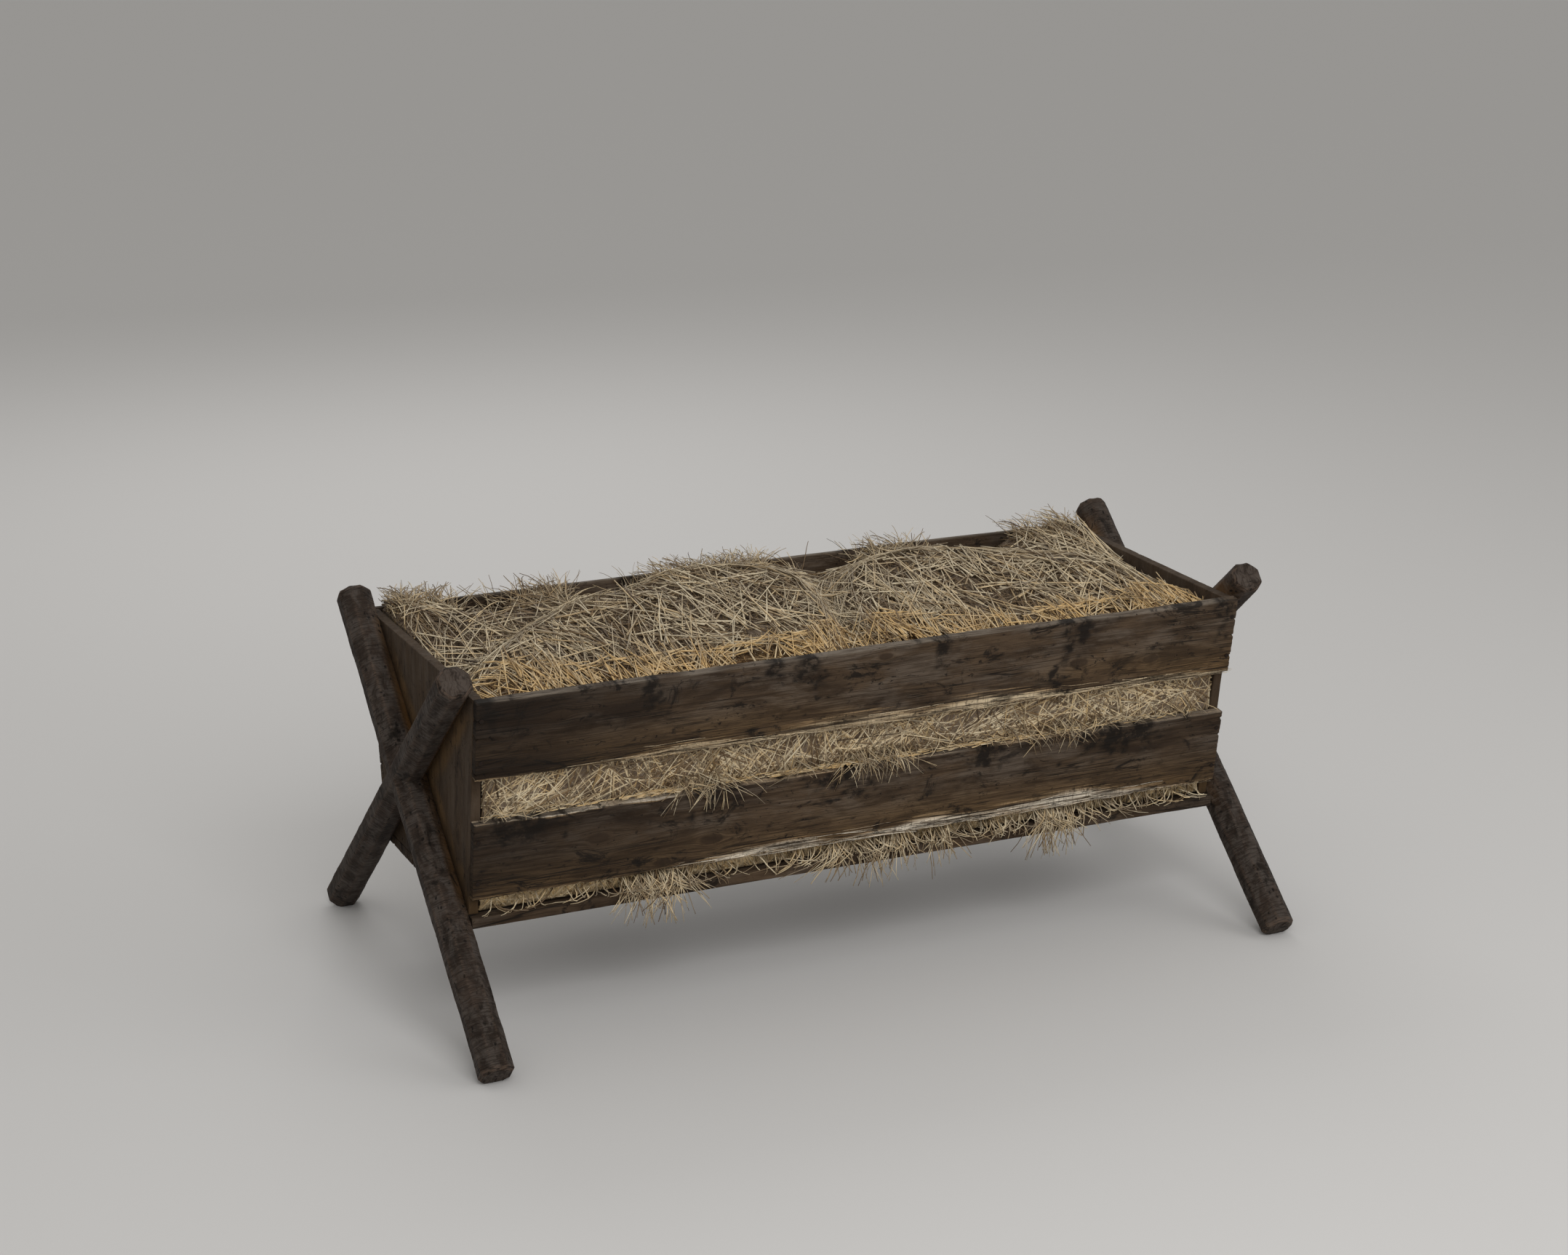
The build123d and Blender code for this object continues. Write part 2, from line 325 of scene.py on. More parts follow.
def pole_material():
    """Hewn pole gone grey brown: curved marks across it, dark pits and patches, and saw marks on its ends."""
    s = Shader("hewn_pole")
    grain = s.vector("grain")  # along, around and out from the pole's middle
    bent = s.bent(grain, 38, 0.012)
    broad = s.noise(grain, (11, 22, 8), 4, 0.65, 0.5)
    clouds = s.noise(grain, (24, 40, 12), 4, 0.65, 0.5, (4, 7, 1))
    marks = s.noise(bent, (420, 46, 40), 4, 0.65, 0.6)
    ripples = s.noise(bent, (150, 34, 24), 4, 0.6, 0.9, (2, 7, 0))
    cuts = s.noise(s.bent(grain, 14, 0.01), (230, 9, 9), 2, 0.5, 0.0, (1, 2, 9))
    blotches = s.noise(grain, (19, 27, 12), 6, 0.74, 0.8, (5, 0, 3))
    pits = s.cells(s.bent(grain, 90, 0.008), (60, 84, 60))
    pit_places = s.noise(grain, (14, 24, 9), 2, 0.5, 0.0, (4, 4, 8))
    holes = s.times(s.ramp(pits, 0.1, 0.28, 1.0, 0.0), s.ramp(pit_places, 0.47, 0.56))
    colour = s.coats(
        s.mix(s.ramp(broad, 0.36, 0.62), POLE_DARK, POLE_MIDDLE),
        (s.ramp(clouds, 0.42, 0.62, 0.0, 0.85), POLE_GREY),
        (s.ramp(ripples, 0.52, 0.66, 0.0, 0.5), POLE_GREY),
        (s.ramp(marks, 0.36, 0.52, 0.55, 0.0), POLE_DARK),
        (s.ramp(cuts, 0.36, 0.46, 0.5, 0.0), POLE_DARK),
        (s.times(s.value("arris"), s.ramp(marks, 0.42, 0.56, 0.0, 0.7)), POLE_EDGE),
        (s.value("warm"), POLE_WARM),
        (s.times(s.value("cap"), s.ramp(marks, 0.4, 0.6, 0.1, 0.6)), POLE_GREY),
        (s.ramp(blotches, 0.555, 0.66, 0, 0.9), MOULD),
        (holes, MOULD),
    )
    height = s.plus(marks, s.times(s.plus(ripples, s.ramp(cuts, 0.36, 0.5)), 0.8))
    height = s.less(height, s.times(holes, 1.5))
    return s.finish(colour, s.ramp(marks, 0.3, 0.7, 0.95, 0.75), height, 0.0011, 0.22)


def mottled(name, scale, detail, roughness, dark, light):
    """A new material's nodes, noise over the object, and a colour that follows it."""
    s = Shader(name)
    grain = s.noise(s.place(), scale, detail, roughness)
    return s, grain, s.mix(s.ramp(grain, 0.35, 0.65), dark, light)


def nail_material():
    """Rusted iron."""
    s, rust, colour = mottled("rusted_nail", (600, 600, 600), 4, 0.7, RUST_DARK, RUST_LIGHT)
    s.surface.inputs["Metallic"].default_value = 0.2
    return s.finish(colour, s.ramp(rust, 0.3, 0.7, 0.7, 0.95), rust, 0.0004, 0.25)


def peg_material():
    """A riven hardwood peg."""
    s, grain, colour = mottled("riven_peg", (20, 500, 500), 3, 0.6, PEG_DARK, PEG_LIGHT)
    return s.finish(colour, 0.8, grain, 0.0005, 0.3)


def hay_bed_material():
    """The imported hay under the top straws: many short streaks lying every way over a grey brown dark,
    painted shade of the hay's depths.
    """
    s = Shader("packed_hay")
    mat = s.vector("mat")  # along and over the hay
    # Painted shade: the dark base stands in for the shade deep among the straws.
    colour = s.mix(s.ramp(s.noise(mat, (24, 24, 1), 3), 0.35, 0.65), HAY_SHADE_DARK, HAY_SHADE_LIGHT)
    colour = s.mix(s.value("warm"), colour, HAY_WARM)
    height = None
    tones = (STRAW_BROWN, STRAW_GREY, STRAW_BROWN, STRAW_GOLD, STRAW_GREY, STRAW_BROWN)
    for index, tone in enumerate(tones):
        turn = math.pi * index / len(tones) + 0.3
        streak = s.noise(mat, (12, 300, 1), 1, 0.4, 0.25, (index * 3.1, index * 7.7, 0), turn)
        lit = s.ramp(streak, 0.58, 0.67, 0.0, 0.5)
        colour = s.mix(lit, colour, tone)
        height = s.maths("MAXIMUM", height, lit) if height else lit
    return s.finish(colour, 0.9, height, 0.0025, 0.15)


def straw_material():
    """Dry straw: dark and brown to grey and pale by the stalk's tone, partly painted shade for low, deep
    straws, golden where warm, and blotched along it.
    """
    s = Shader("dry_straw")
    place, tone = s.place(), s.value("tone")
    patches, fibres = s.noise(place, (60, 60, 60), 2, 0.5), s.noise(place, (900, 900, 900), 1, 0.5)
    colour = s.coats(
        s.mix(s.ramp(tone, 0.0, 0.25), STRAW_DARK, STRAW_BROWN),
        (s.ramp(tone, 0.2, 0.55), STRAW_GREY),
        (s.ramp(tone, 0.45, 0.95), STRAW_PALE),
        (s.value("warm"), s.mix(s.ramp(tone, 0.1, 0.8), GOLD_DARK, STRAW_GOLD)),
        (s.ramp(patches, 0.5, 0.7, 0.0, 0.55), STRAW_BROWN),
    )
    return s.finish(colour, s.ramp(patches, 0.3, 0.7, 0.5, 0.7), fibres, 0.0003, 0.35)


BOARD, POLE, NAIL, PEG = board_material(), pole_material(), nail_material(), peg_material()
HAY_BED, STRAW = hay_bed_material(), straw_material()

for name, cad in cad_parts.items():
    material = NAIL if name.endswith("nails") else PEG if name.endswith("peg") else None
    if material:
        cad.data.materials.clear()
        cad.data.materials.append(material)


# --- Boards ---


def places_along(half, step):
    """Places from -half to half a step apart, and closer together at both ends."""
    near = np.array([0, 0.0008, 0.0018, 0.0032, 0.005])
    middle = half - 0.0075
    count = max(2, round(2 * middle / step) + 1)
    return np.concatenate([near - half, np.linspace(-middle, middle, count), half - near[::-1]])


def box_grid(us, vs, ws):
    """The skin of a box with corners at those places along its three axes: its points and its faces."""
    shape = (len(us), len(vs), len(ws))
    skin = np.zeros(shape, bool)
    skin[[0, -1]] = skin[:, [0, -1]] = skin[:, :, [0, -1]] = True
    index = np.full(shape, -1)
    index[skin] = np.arange(skin.sum())
    points = np.stack(np.meshgrid(us, vs, ws, indexing="ij"), -1)[skin]
    faces = []
    for axis in range(3):
        sheets = np.moveaxis(index, axis, 0)
        for high in (False, True):
            sheet = sheets[-1 if high else 0]
            quads = [sheet[:-1, :-1], sheet[1:, :-1], sheet[1:, 1:], sheet[:-1, 1:]]
            quads = np.stack(quads, -1).reshape(-1, 4)
            faces.append(quads if high == (axis != 1) else quads[:, ::-1])
    return points, np.concatenate(faces)


def around_knots(u, v, half, count, seed):
    """The grain's shift round each knot, and the distance from the nearest one in knot sizes."""
    own = np.random.default_rng(seed)
    shift, nearest = np.zeros(len(u)), np.full(len(u), 2.0)
    for _ in range(count):
        place = own.uniform(-0.85, 0.85, 2) * half[:2]
        far = np.hypot((u - place[0]) / 2.2, v - place[1]) / own.uniform(0.006, 0.012)
        shift -= (v - place[1]) / np.maximum(far, 1) ** 2 * 0.9
        nearest = np.minimum(nearest, far)
    return shift, nearest


def bleached(u, shifted, edges, seed):
    """How bleached and frayed each point is: edges are its distances to two, each with its wide stretches."""
    torn = np.zeros(len(u))
    ragged = 0.85 + 0.4 * layered(shifted, (0.16, 10, 10), seed + 3, 2)
    for distance, width, stretches in edges:
        here = np.max([0 * u + 0.25, *(bump(u, *stretch) for stretch in stretches)], axis=0)
        reach = np.maximum(width * here * ragged, 0.0015)
        worn = (1 - ramp(distance, 0.0, reach)) * (0.35 + 0.75 * here)
        torn = np.maximum(torn, worn * (width > 0))
    return torn


def stained(u, lower, upper, shifted, stains, seed):
    """How dark each point is with runs of dirt, down from the upper edge or up from the lower one."""
    dark = np.zeros(len(u))
    drift = layered(shifted, (0.03, 0.018, 0.1), seed + 24)
    ragged = 1.1 + 0.8 * layered(shifted, (0.014, 0.014, 0.1), seed + 21)
    for place, width, length in stains:
        inward, length = (upper, length) if length > 0 else (lower, -length)
        off = (u + 0.7 * width * drift - place) / width
        far = np.hypot(off, np.maximum(inward - 0.3 * length, 0) / length) * ragged
        dark = np.maximum(dark, 1 - ramp(far, 0.45, 1.15))
    return dark


def beside_poles(places, poles):
    """How near each place on an end board is to a line where one of the poles lies against it."""
    near = np.zeros(len(places))
    for node in poles:
        pole_points = cad_points(node)[:, 1:]
        middle = pole_points.mean(0)
        off = pole_points - middle
        across = np.linalg.eigh(off.T @ off)[1][:, 0]
        far = np.abs((places[:, 1:] - middle) @ across)
        near = np.maximum(near, 1 - ramp(far + 0.012 * noise(places, (1, 0.03, 0.03), 61), 0.03, 0.058))
    return near * (1 - ramp(places[:, 2], 0.56, 0.62))


def board(
    node, half, to_row, seed, step=(0.008, 0.0022), knots=3, pale=(0, ()), worn_top=(0, ()), stains=(),
    shade=(0, 1), cracked=0.0, split=1.0, roughness=1.0, plain=0.0, white=0.0, poles=(),
):
    """A weathered board in place of a CAD node.

    half holds its half sizes along, across and through it, and to_row takes its own points to their places.
    pale and worn_top are how far in from its lower and upper edges it is bleached, and the places and lengths
    where it is most so, and white is how white it goes there. stains are the place, width and length of dark
    runs down from its upper edge, or up from its lower edge where the length is negative. shade is how dark
    its two ends are, cracked how open the grain is near its lower edge, split how deep its ends are split,
    roughness how strong its relief is, and plain how faint its grain is. It is browner beside the poles.
    """
    half = np.array(half)
    edge_places = places_along(half[2], 1.0)
    ws = np.concatenate([edge_places[:5], [0], edge_places[-5:]])
    points, faces = box_grid(places_along(half[0], step[0]), places_along(half[1], step[1]), ws)
    u, v, _ = points.T
    shifted = points + (seed * 3.7, seed * 0.61, seed * 0.23)
    lower, upper, end = v + half[1], half[1] - v, half[0] - np.abs(u)
    shift, knot = around_knots(u, v, half, knots, seed)
    grain = shifted + np.stack([0 * u, shift, 0 * u], 1)
    torn = bleached(u, shifted, ((lower, *pale), (upper, *worn_top)), seed)

    def wave(size, number, places=shifted):
        return noise(places, size, seed + number)

    fibres = wave((0.12, 0.003, 0.01), 12, grain)
    open_edge, open_end = 1 - ramp(lower, 0.1 * half[1], 0.75 * half[1]), 1 - ramp(end, 0.03, 0.13)
    opened = np.clip(open_edge * cracked + 0.5 * split * open_end, 0, 1)
    splits = 1 - ramp(np.abs(wave((0.5, 0.045, 0.3), 13, grain)), 0.0, 0.05)
    splits = splits * (1 - ramp(end, 0.01, 0.1 + 0.06 * wave((3, 0.04, 1), 14)))
    furrows = (1 - ramp(np.abs(wave((0.22, 0.011, 0.3), 22, grain)), 0.0, 0.1)) * opened
    relief = 0.0003 * wave((0.3, 0.0065, 0.02), 11, grain) + 0.0002 * fibres
    relief = (relief + 0.0007 * wave((0.17, 0.05, 0.05), 15)) * roughness
    relief = relief - 0.0035 * split * splits - 0.0012 * furrows - 0.0013 * torn * (1 + fibres)
    relief += 0.001 * (1 - ramp(knot, 0.6, 1.4)) - 0.0012 * (1 - ramp(np.abs(knot - 1.05), 0, 0.2))

    wear = np.maximum(layered(shifted, (0.09, 0.5, 0.5), seed + 16), 0) ** 2
    radius = 0.0012 + 0.0045 * wear + 0.0012 * np.abs(wave((0.014, 0.05, 0.05), 17))
    radius = np.minimum(radius * (0.7 + 0.3 * roughness), 0.4 * half[2])[:, None]
    core = np.clip(points, radius - half, half - radius)
    moved = core + unit(points - core) * (radius + relief[:, None])
    wander = 0.0011 * layered(shifted * (1, 0, 0), (0.3, 1, 1), seed + 18)
    bites = -0.003 * np.maximum(wave((0.007, 1, 0.012), 19), 0) * (torn > 0.35)
    moved[:, 1] += np.sign(v) * ramp(np.abs(v) / half[1], 0.8, 1.0) * (wander + bites)
    moved = to_row(moved)

    along = (u / half[0] + 1) / 2
    darker = shade[0] * (1 - ramp(along, 0.0, 0.42)) + shade[1] * ramp(along, 0.62, 1.0)
    darker = np.clip(darker * (0.85 + 0.4 * wave((0.2, 0.06, 0.1), 23)), 0, 1)
    glow = (1 - ramp(lower, 0.25 * half[1], 1.3 * half[1])) * ramp(wave((0.35, 0.1, 1), 25), -0.6, 0.2)
    glow = beside_poles(moved, poles) if poles else glow * (cracked > 0)
    # Painted highlight: a paler line along the upper edge, broken by noise.
    rim = (1 - ramp(upper, 0.0006, 0.0045)) * ramp(wave((0.06, 1, 1), 26), -0.7, 0.1)
    mesh_piece(
        node + "_board", moved, [faces], BOARD, "rack", "board_wood", [node],
        grain=grain, knot=knot, pale=torn, stain=stained(u, lower, upper, shifted, stains, seed),
        cracked=opened, shade=darker, glow=glow, rim=rim, plain=0 * u + plain, white=0 * u + white,
    )


def prisms(lines, widths, random):
    """Flattened tubes along lines of points (line, point, axis), each tapering towards its tip."""
    count, stops = lines.shape[:2]
    ahead = unit(np.gradient(lines, axis=1))
    side = unit(np.cross(ahead, unit(random.normal(size=(count, 1, 3)))))
    up = np.cross(side, ahead)
    half = widths[:, None, None] * np.linspace(1, 0.55, stops)[None, :, None] / 2
    ring = np.stack([side * half, up * half * 0.62, -side * half, -up * half * 0.62], 2)
    index = np.arange(count * stops * 4).reshape(count, stops, 4)
    faces = [ring_faces(index), index[:, 0, ::-1], index[:, -1]]
    return (lines[:, :, None] + ring).reshape(-1, 3), faces, stops * 4


def splinters(node, half, to_row, seed, pale, white):
    """Thin pale fibres torn from a slat's lower edge, each still lying along it."""
    own = np.random.default_rng(seed + 50)
    width, stretches = pale
    count = 44 * len(stretches)
    places, lengths = np.array(stretches)[own.integers(0, len(stretches), count)].T
    u = np.clip(places + own.normal(0, 0.6, count) * lengths, -half[0] + 0.07, half[0] - 0.07)
    long = own.uniform(0.03, 0.16, count)[:, None]
    v = -half[1] + own.uniform(-0.0025, 0.55, count) * width * own.random(count)
    w = own.choice([-1, 1, 1, 1], count) * (half[2] + own.uniform(-0.0004, 0.0012, count))
    t = np.linspace(-0.5, 0.5, 5)
    lines = np.stack([
        u[:, None] + long * t,
        v[:, None] + own.normal(0, 0.0007, (count, 5)) + own.normal(0, 0.02, count)[:, None] * long * t,
        w[:, None] + own.normal(0, 0.0003, (count, 5)) + 0 * t,
    ], -1)
    points, faces, each = prisms(lines, own.uniform(0.0009, 0.0019, count), own)
    mesh_piece(
        node + "_splinters", to_row(points), faces, BOARD, "rack", "board_wood", grain=points,
        knot=np.full(len(points), 2.0), pale=np.repeat(own.uniform(0.35, 1.0, count), each),
        white=np.full(len(points), white),
    )


def slat(node, seed, pale, white=0.0, **details):
    """A slat, tilted as its CAD node is: its across axis points up the trough's side."""
    points = cad_points(node)
    middle = (points.min(0) + points.max(0)) / 2
    section = points[:, 1:] - middle[1:]
    up = np.linalg.eigh(section.T @ section)[1][:, 1]
    up = up * np.sign(up[1])
    out = np.array([up[1], -up[0]]) * np.sign(middle[1])
    half = np.abs(points[:, 0] - middle[0]).max(), np.abs(section @ up).max(), np.abs(section @ out).max()
    turn = np.array([[1, 0, 0], [0, *up], [0, *out]])
    turn[0] *= np.sign(np.linalg.det(turn))

    def to_row(own):
        return own @ turn + middle

    board(node, half, to_row, seed, pale=pale, white=white, cracked=1.0, **details)
    splinters(node, half, to_row, seed, pale, white)


def end_board(node, seed, **details):
    """An end board: four-sided, wider at the top, with upright grain."""
    points = cad_points(node)
    low, high = points.min(0), points.max(0)
    middle, half = (low + high) / 2, (high - low) / 2
    bottom = np.abs(points[points[:, 2] < low[2] + 0.001, 1]).max()

    def to_row(own):
        share = (own[:, 0] / half[2] + 1) / 2
        wide = (bottom + (half[1] - bottom) * share) / half[1]
        return np.stack([-own[:, 2], own[:, 1] * wide, own[:, 0]], 1) + middle

    board(node, half[::-1], to_row, seed, **details)


def floor_board(node, seed, **details):
    """A floor board, lying flat."""
    low, high = np.array(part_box(node))
    board(node, (high - low) / 2, lambda own: own + (low + high) / 2, seed, **details)


slat(
    "front_upper_slat", 1, (0.046, ((-0.36, 0.12), (-0.04, 0.16), (0.28, 0.22), (0.62, 0.12))), 0.15,
    knots=4, shade=(1.0, 0.0),
    stains=((-0.43, 0.02, 0.05), (-0.13, 0.026, 0.055), (-0.2, 0.016, 0.03), (0.13, 0.016, 0.05),
            (0.42, 0.022, 0.05), (0.39, 0.015, 0.085), (-0.73, 0.02, 0.05), (0.72, 0.02, 0.06),
            (-0.23, 0.022, -0.032), (0.38, 0.024, -0.05)),
)
slat(
    "front_lower_slat", 2, (0.05, ((-0.16, 0.16), (0.12, 0.22), (0.42, 0.24))), 0.9,
    shade=(0.8, 0.3), worn_top=(0.012, ((-0.6, 0.1), (-0.42, 0.06))),
    stains=((-0.66, 0.06, 0.05), (-0.3, 0.05, 0.04), (-0.06, 0.055, 0.045), (0.25, 0.03, 0.04),
            (0.51, 0.075, 0.055)),
)
slat("back_upper_slat", 3, (0.03, ((-0.35, 0.2), (0.4, 0.25))), shade=(0.3, 0.6),
     stains=((-0.3, 0.03, 0.05), (0.25, 0.02, 0.06), (0.6, 0.03, 0.04)))
slat("back_lower_slat", 4, (0.026, ((-0.1, 0.3), (0.5, 0.2))), knots=4, shade=(0.5, 0.3),
     stains=((0.1, 0.05, 0.04), (-0.5, 0.04, 0.05)))
for number, place in enumerate(("left", "right")):
    end_board(
        place + "_end_board", 5 + number, step=(0.007, 0.0032), knots=2, shade=(0.65, 0.0), split=0.2,
        roughness=0.5, plain=1.0, poles=(place + "_front_leg", place + "_back_leg"),
    )
for number, place in enumerate(("front", "middle", "back")):
    floor_board(
        "floor_board_" + place, 7 + number, step=(0.01, 0.004), knots=2, shade=(0.4, 0.4), roughness=0.8
    )


# --- Poles ---

POLE_SIDES, POLE_RING = 64, 0.005  # points around a pole, and how far apart its rings are
POLE_END_RINGS = np.array([0.99, 0.86, 0.7, 0.54, 0.38, 0.22, 0.08])[:, None]  # the rings that close its ends


def pole_line(points, crossing):
    """A pole's direction, from foot to head, and how far each point is along it from the crossing."""
    head = points[np.argmax(points[:, 2])]
    for _ in range(3):
        along = unit((head - crossing) * (0, 1, 1))
        far = (points - crossing) @ along
        head = points[far > far.max() - 0.003].mean(0)
    return along, far


def pole(node, peg, seed):
    """A hewn pole in place of a CAD node, rounded from eight faces, on the line from its foot to its head."""
    cad = cad_points(node)
    low, high = cad[:, 0].min(), cad[:, 0].max()
    crossing = np.array([(low + high) / 2, *np.mean(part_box(peg), axis=0)[1:]])
    width = 0.5 * (high - low)
    along, far = pole_line(cad, crossing)
    start, end = far.min(), far.max()
    angle = np.arange(POLE_SIDES) * 2 * math.pi / POLE_SIDES
    corner = (angle + math.pi / 8) % (math.pi / 4) - math.pi / 8
    side = np.array([1.0, 0, 0])
    out = np.cos(angle)[:, None] * side + np.sin(angle)[:, None] * np.cross(along, side)
    rings = np.linspace(start + 0.006, end - 0.006, round((end - start) / POLE_RING) + 1)
    rings = np.concatenate([[start, start + 0.002], rings, [end - 0.002, end]])
    t, turn = (values.ravel() for values in np.meshgrid(rings, angle, indexing="ij"))
    place = np.stack([t + seed * 2.3, width * np.cos(turn), width * np.sin(turn)], 1)

    def wave(size, number):
        return noise(place, size, seed + number)

    relief = 0.0011 * wave((0.16, 0.03, 0.03), 0) + 0.0007 * wave((0.03, 0.025, 0.025), 1)
    relief += 0.00035 * wave((0.004, 0.012, 0.012), 2)
    relief -= 0.002 * np.maximum(wave((0.05, 0.018, 0.018), 3) - 0.55, 0)
    near_end = np.minimum(t - start, end - t)
    worn = 0.005 + 0.002 * noise(place * (0, 1, 1), (1, 0.02, 0.02), seed + 4)
    worn = worn * np.clip(1 - near_end / 0.006, 0, 1)
    flat = np.minimum(1 / np.cos(corner), 1.07)
    radius = (width * np.tile(flat, len(rings)) + relief - 0.0009 - worn).reshape(len(rings), -1)
    body = crossing + rings[:, None, None] * along + radius[..., None] * out
    index = np.arange(t.size).reshape(radius.shape)
    points, faces = [body.reshape(-1, 3)], [ring_faces(index)]
    grain = [np.stack([t + seed, turn * width + seed * 0.3, 0 * t + seed * 0.1], 1)]
    count = t.size
    for ring, sign, at in ((0, -1, start), (-1, 1, end)):
        spot = radius[ring] * POLE_END_RINGS
        own = np.stack([spot * np.cos(angle) + seed, spot * np.sin(angle), 0 * spot + seed], -1)
        own = own.reshape(-1, 3)
        bulge = noise(own, (0.02, 0.02, 1), seed + 5).reshape(spot.shape)
        check = 1 - ramp(np.abs(np.sin((angle - seed) * 1.5)), 0, 0.1 * (1.1 - POLE_END_RINGS))
        push = sign * (0.0012 * bulge - 0.004 * check * ramp(POLE_END_RINGS, 0, 0.4))
        middle = crossing + at * along
        points += [(middle + push[..., None] * along + spot[..., None] * out).reshape(-1, 3), middle[None]]
        grain += [own * (0.5, 1, 0), np.array([[seed * 0.5, 0, 0]])]
        end_index = np.vstack([index[ring], count + np.arange(spot.size).reshape(spot.shape)])
        count += spot.size
        closed = [ring_faces(end_index), fan_faces(end_index[-1], count)]
        faces += closed if sign > 0 else [part[:, ::-1] for part in closed]
        count += 1
    points = np.concatenate(points)
    points[:, 2] = np.maximum(points[:, 2], 0)
    inner = -np.sign(crossing[0]) * (points[:, 0] - crossing[0]) / width
    fade = ramp(points[:, 2], 0.18, 0.34)
    patchy = 0.6 + 0.5 * noise(points, (0.05, 0.05, 0.05), seed + 6)
    fade = fade * (1 - ramp(points[:, 2], 0.6, 0.67))
    warm = np.clip(ramp(inner, 0.25, 0.85) * fade * patchy, 0, 1) * 0.9
    cap = np.arange(count) >= t.size
    sharp = np.tile(ramp(np.abs(corner), math.radians(15), math.radians(21)), len(rings))
    sharp = sharp * (0.6 + 0.6 * wave((0.05, 0.02, 0.02), 7))
    arris = 0.5 * cap
    arris[: t.size] = 1.2 * (1 - ramp(near_end, 0.004, 0.009)) + sharp
    mesh_piece(
        node + "_pole", points, faces, POLE, "rack", "pole_wood", [node],
        grain=np.concatenate(grain), cap=cap, warm=warm, arris=np.clip(arris, 0, 1),
    )


for number, name in enumerate(("left_front", "left_back", "right_front", "right_back")):
    pole(name + "_leg", name.split("_")[0] + "_crossing_peg", 31 + 10 * number)


# --- Hay ---

END_BOX, FLOOR_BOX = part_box("right_end_board"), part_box("floor_board_front")
LOWER_BOX, UPPER_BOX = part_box("front_lower_slat"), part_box("front_upper_slat")
END_INNER, BOARD_TOP, FLOOR_HIGH = END_BOX[0][0], END_BOX[1][2], FLOOR_BOX[1][2]
LOWER_LOW, LOWER_HIGH = LOWER_BOX[0][2], LOWER_BOX[1][2]
GAP_HIGH, SLAT_TOP = UPPER_BOX[0][2], UPPER_BOX[1][2]
RIM_Y, FLOOR_Y = -UPPER_BOX[0][1], -FLOOR_BOX[0][1]
SLAT_THICKNESS = 0.018
SLOPE = (RIM_Y - FLOOR_Y) / (SLAT_TOP - FLOOR_HIGH)

# The hay's surface: its height from front to back, the two mounds (middle, radii, turn) with a valley between
# them, and the hollows where it has sunk away from the back slat (place, width, depth).
PROFILE_Y = (-0.3, -0.25, -0.193, -0.148, -0.092, -0.034, 0.06, 0.14, 0.2, 0.3)
PROFILE_Z = (0.578, 0.592, 0.602, 0.608, 0.616, 0.623, 0.631, 0.636, 0.636, 0.632)
MOUNDS = ((-0.445, -0.3, 0.682, 0.305, 0.857), (0.417, -0.3, 0.513, 0.35, -1.1))
MOUND_RISE = 0.025
HOLLOWS = (
    (-0.54, 0.066, 0.052), (-0.3, 0.06, 0.05), (0.16, 0.07, 0.06), (0.41, 0.05, 0.042),
    (0.52, 0.048, 0.042),
)
# How much further back than usual the golden band reaches at some places (place, width, reach).
GOLD_REACH = ((-0.62, 0.07, 0.055), (0.08, 0.13, 0.06), (0.66, 0.07, 0.042), (0.37, 0.08, -0.02))
# How far along the trough straws of several kinds reach, and how far forward and back on the hay they lie.
TOP_END, GOLD_END, STRAY_END, TUFT_END, TIP_END = END_INNER - 0.01, 0.715, 0.72, 0.725, 0.735
TOP_FRONT, TOP_BACK, BED_EDGE = 0.283, 0.288, 0.285
BEHIND_SLAT = SLAT_THICKNESS + 0.002  # how far in the straws that hang out start
RIM_BACK, RIM_RISE = 0.345, 0.034  # how far back, and how high over the back slat, its wisps reach


def outer_y(z):
    """How far the slats' outer faces are from the middle plane at that height."""
    return FLOOR_Y + SLOPE * (z - FLOOR_HIGH)


def inner_y(z):
    """The same for their inner faces."""
    return outer_y(z) - SLAT_THICKNESS * math.hypot(1, SLOPE)


def in_mound(x, y, mound):
    """How far out in a mound each place is: 1 at its foot."""
    middle_x, middle_y, long, wide, turn = mound
    u = (x - middle_x) * math.cos(turn) + (y - middle_y) * math.sin(turn)
    v = (y - middle_y) * math.cos(turn) - (x - middle_x) * math.sin(turn)
    return np.hypot(u / long, v / wide)


def on_crest(x, y):
    """How near each place is to the edge of a mound."""
    return np.max([bump(in_mound(x, y, mound), 0.97, 0.06) for mound in MOUNDS], axis=0)


def hay_top(x, y):
    """The height of the hay's upper surface."""
    place = np.stack([x, y, 0 * x], 1)
    z = np.interp(y, PROFILE_Y, PROFILE_Z) - 0.4 * MOUND_RISE
    z = z + 0.008 * noise(place, (0.26, 0.2, 1), 101) + 0.005 * noise(place, (0.1, 0.08, 1), 102)
    inside = np.min([in_mound(x, y, mound) for mound in MOUNDS], axis=0)
    z = z + MOUND_RISE * (1 - ramp(inside, 0.92, 1.02))
    rear = ramp(y, 0.17, 0.265)
    for middle, width, depth in HOLLOWS:
        z = z - depth * bump(x, middle, width) * rear
    corner = ramp(np.abs(x), 0.6, 0.72) * ramp(y, 0.1, 0.24)
    z = z - 0.018 * ramp(x, 0.6, 0.72) * (1 - ramp(y, 0.05, 0.2)) + 0.008 * rear + 0.024 * corner
    ends = BOARD_TOP + np.where(x < 0, 0.8, 1.6) * (END_INNER - np.abs(x))
    return np.minimum(np.minimum(z, ends), SLAT_TOP + 0.8 * (0.292 - y))


def off_hollows(x, y):
    """Which places are to keep their straws: nearly all of them, but few over the hollows."""
    share = np.max([bump(x, middle, 1.25 * width) for middle, width, _ in HOLLOWS], axis=0)
    return chance(len(x)) > 0.97 * (share * ramp(y, 0.13, 0.2))


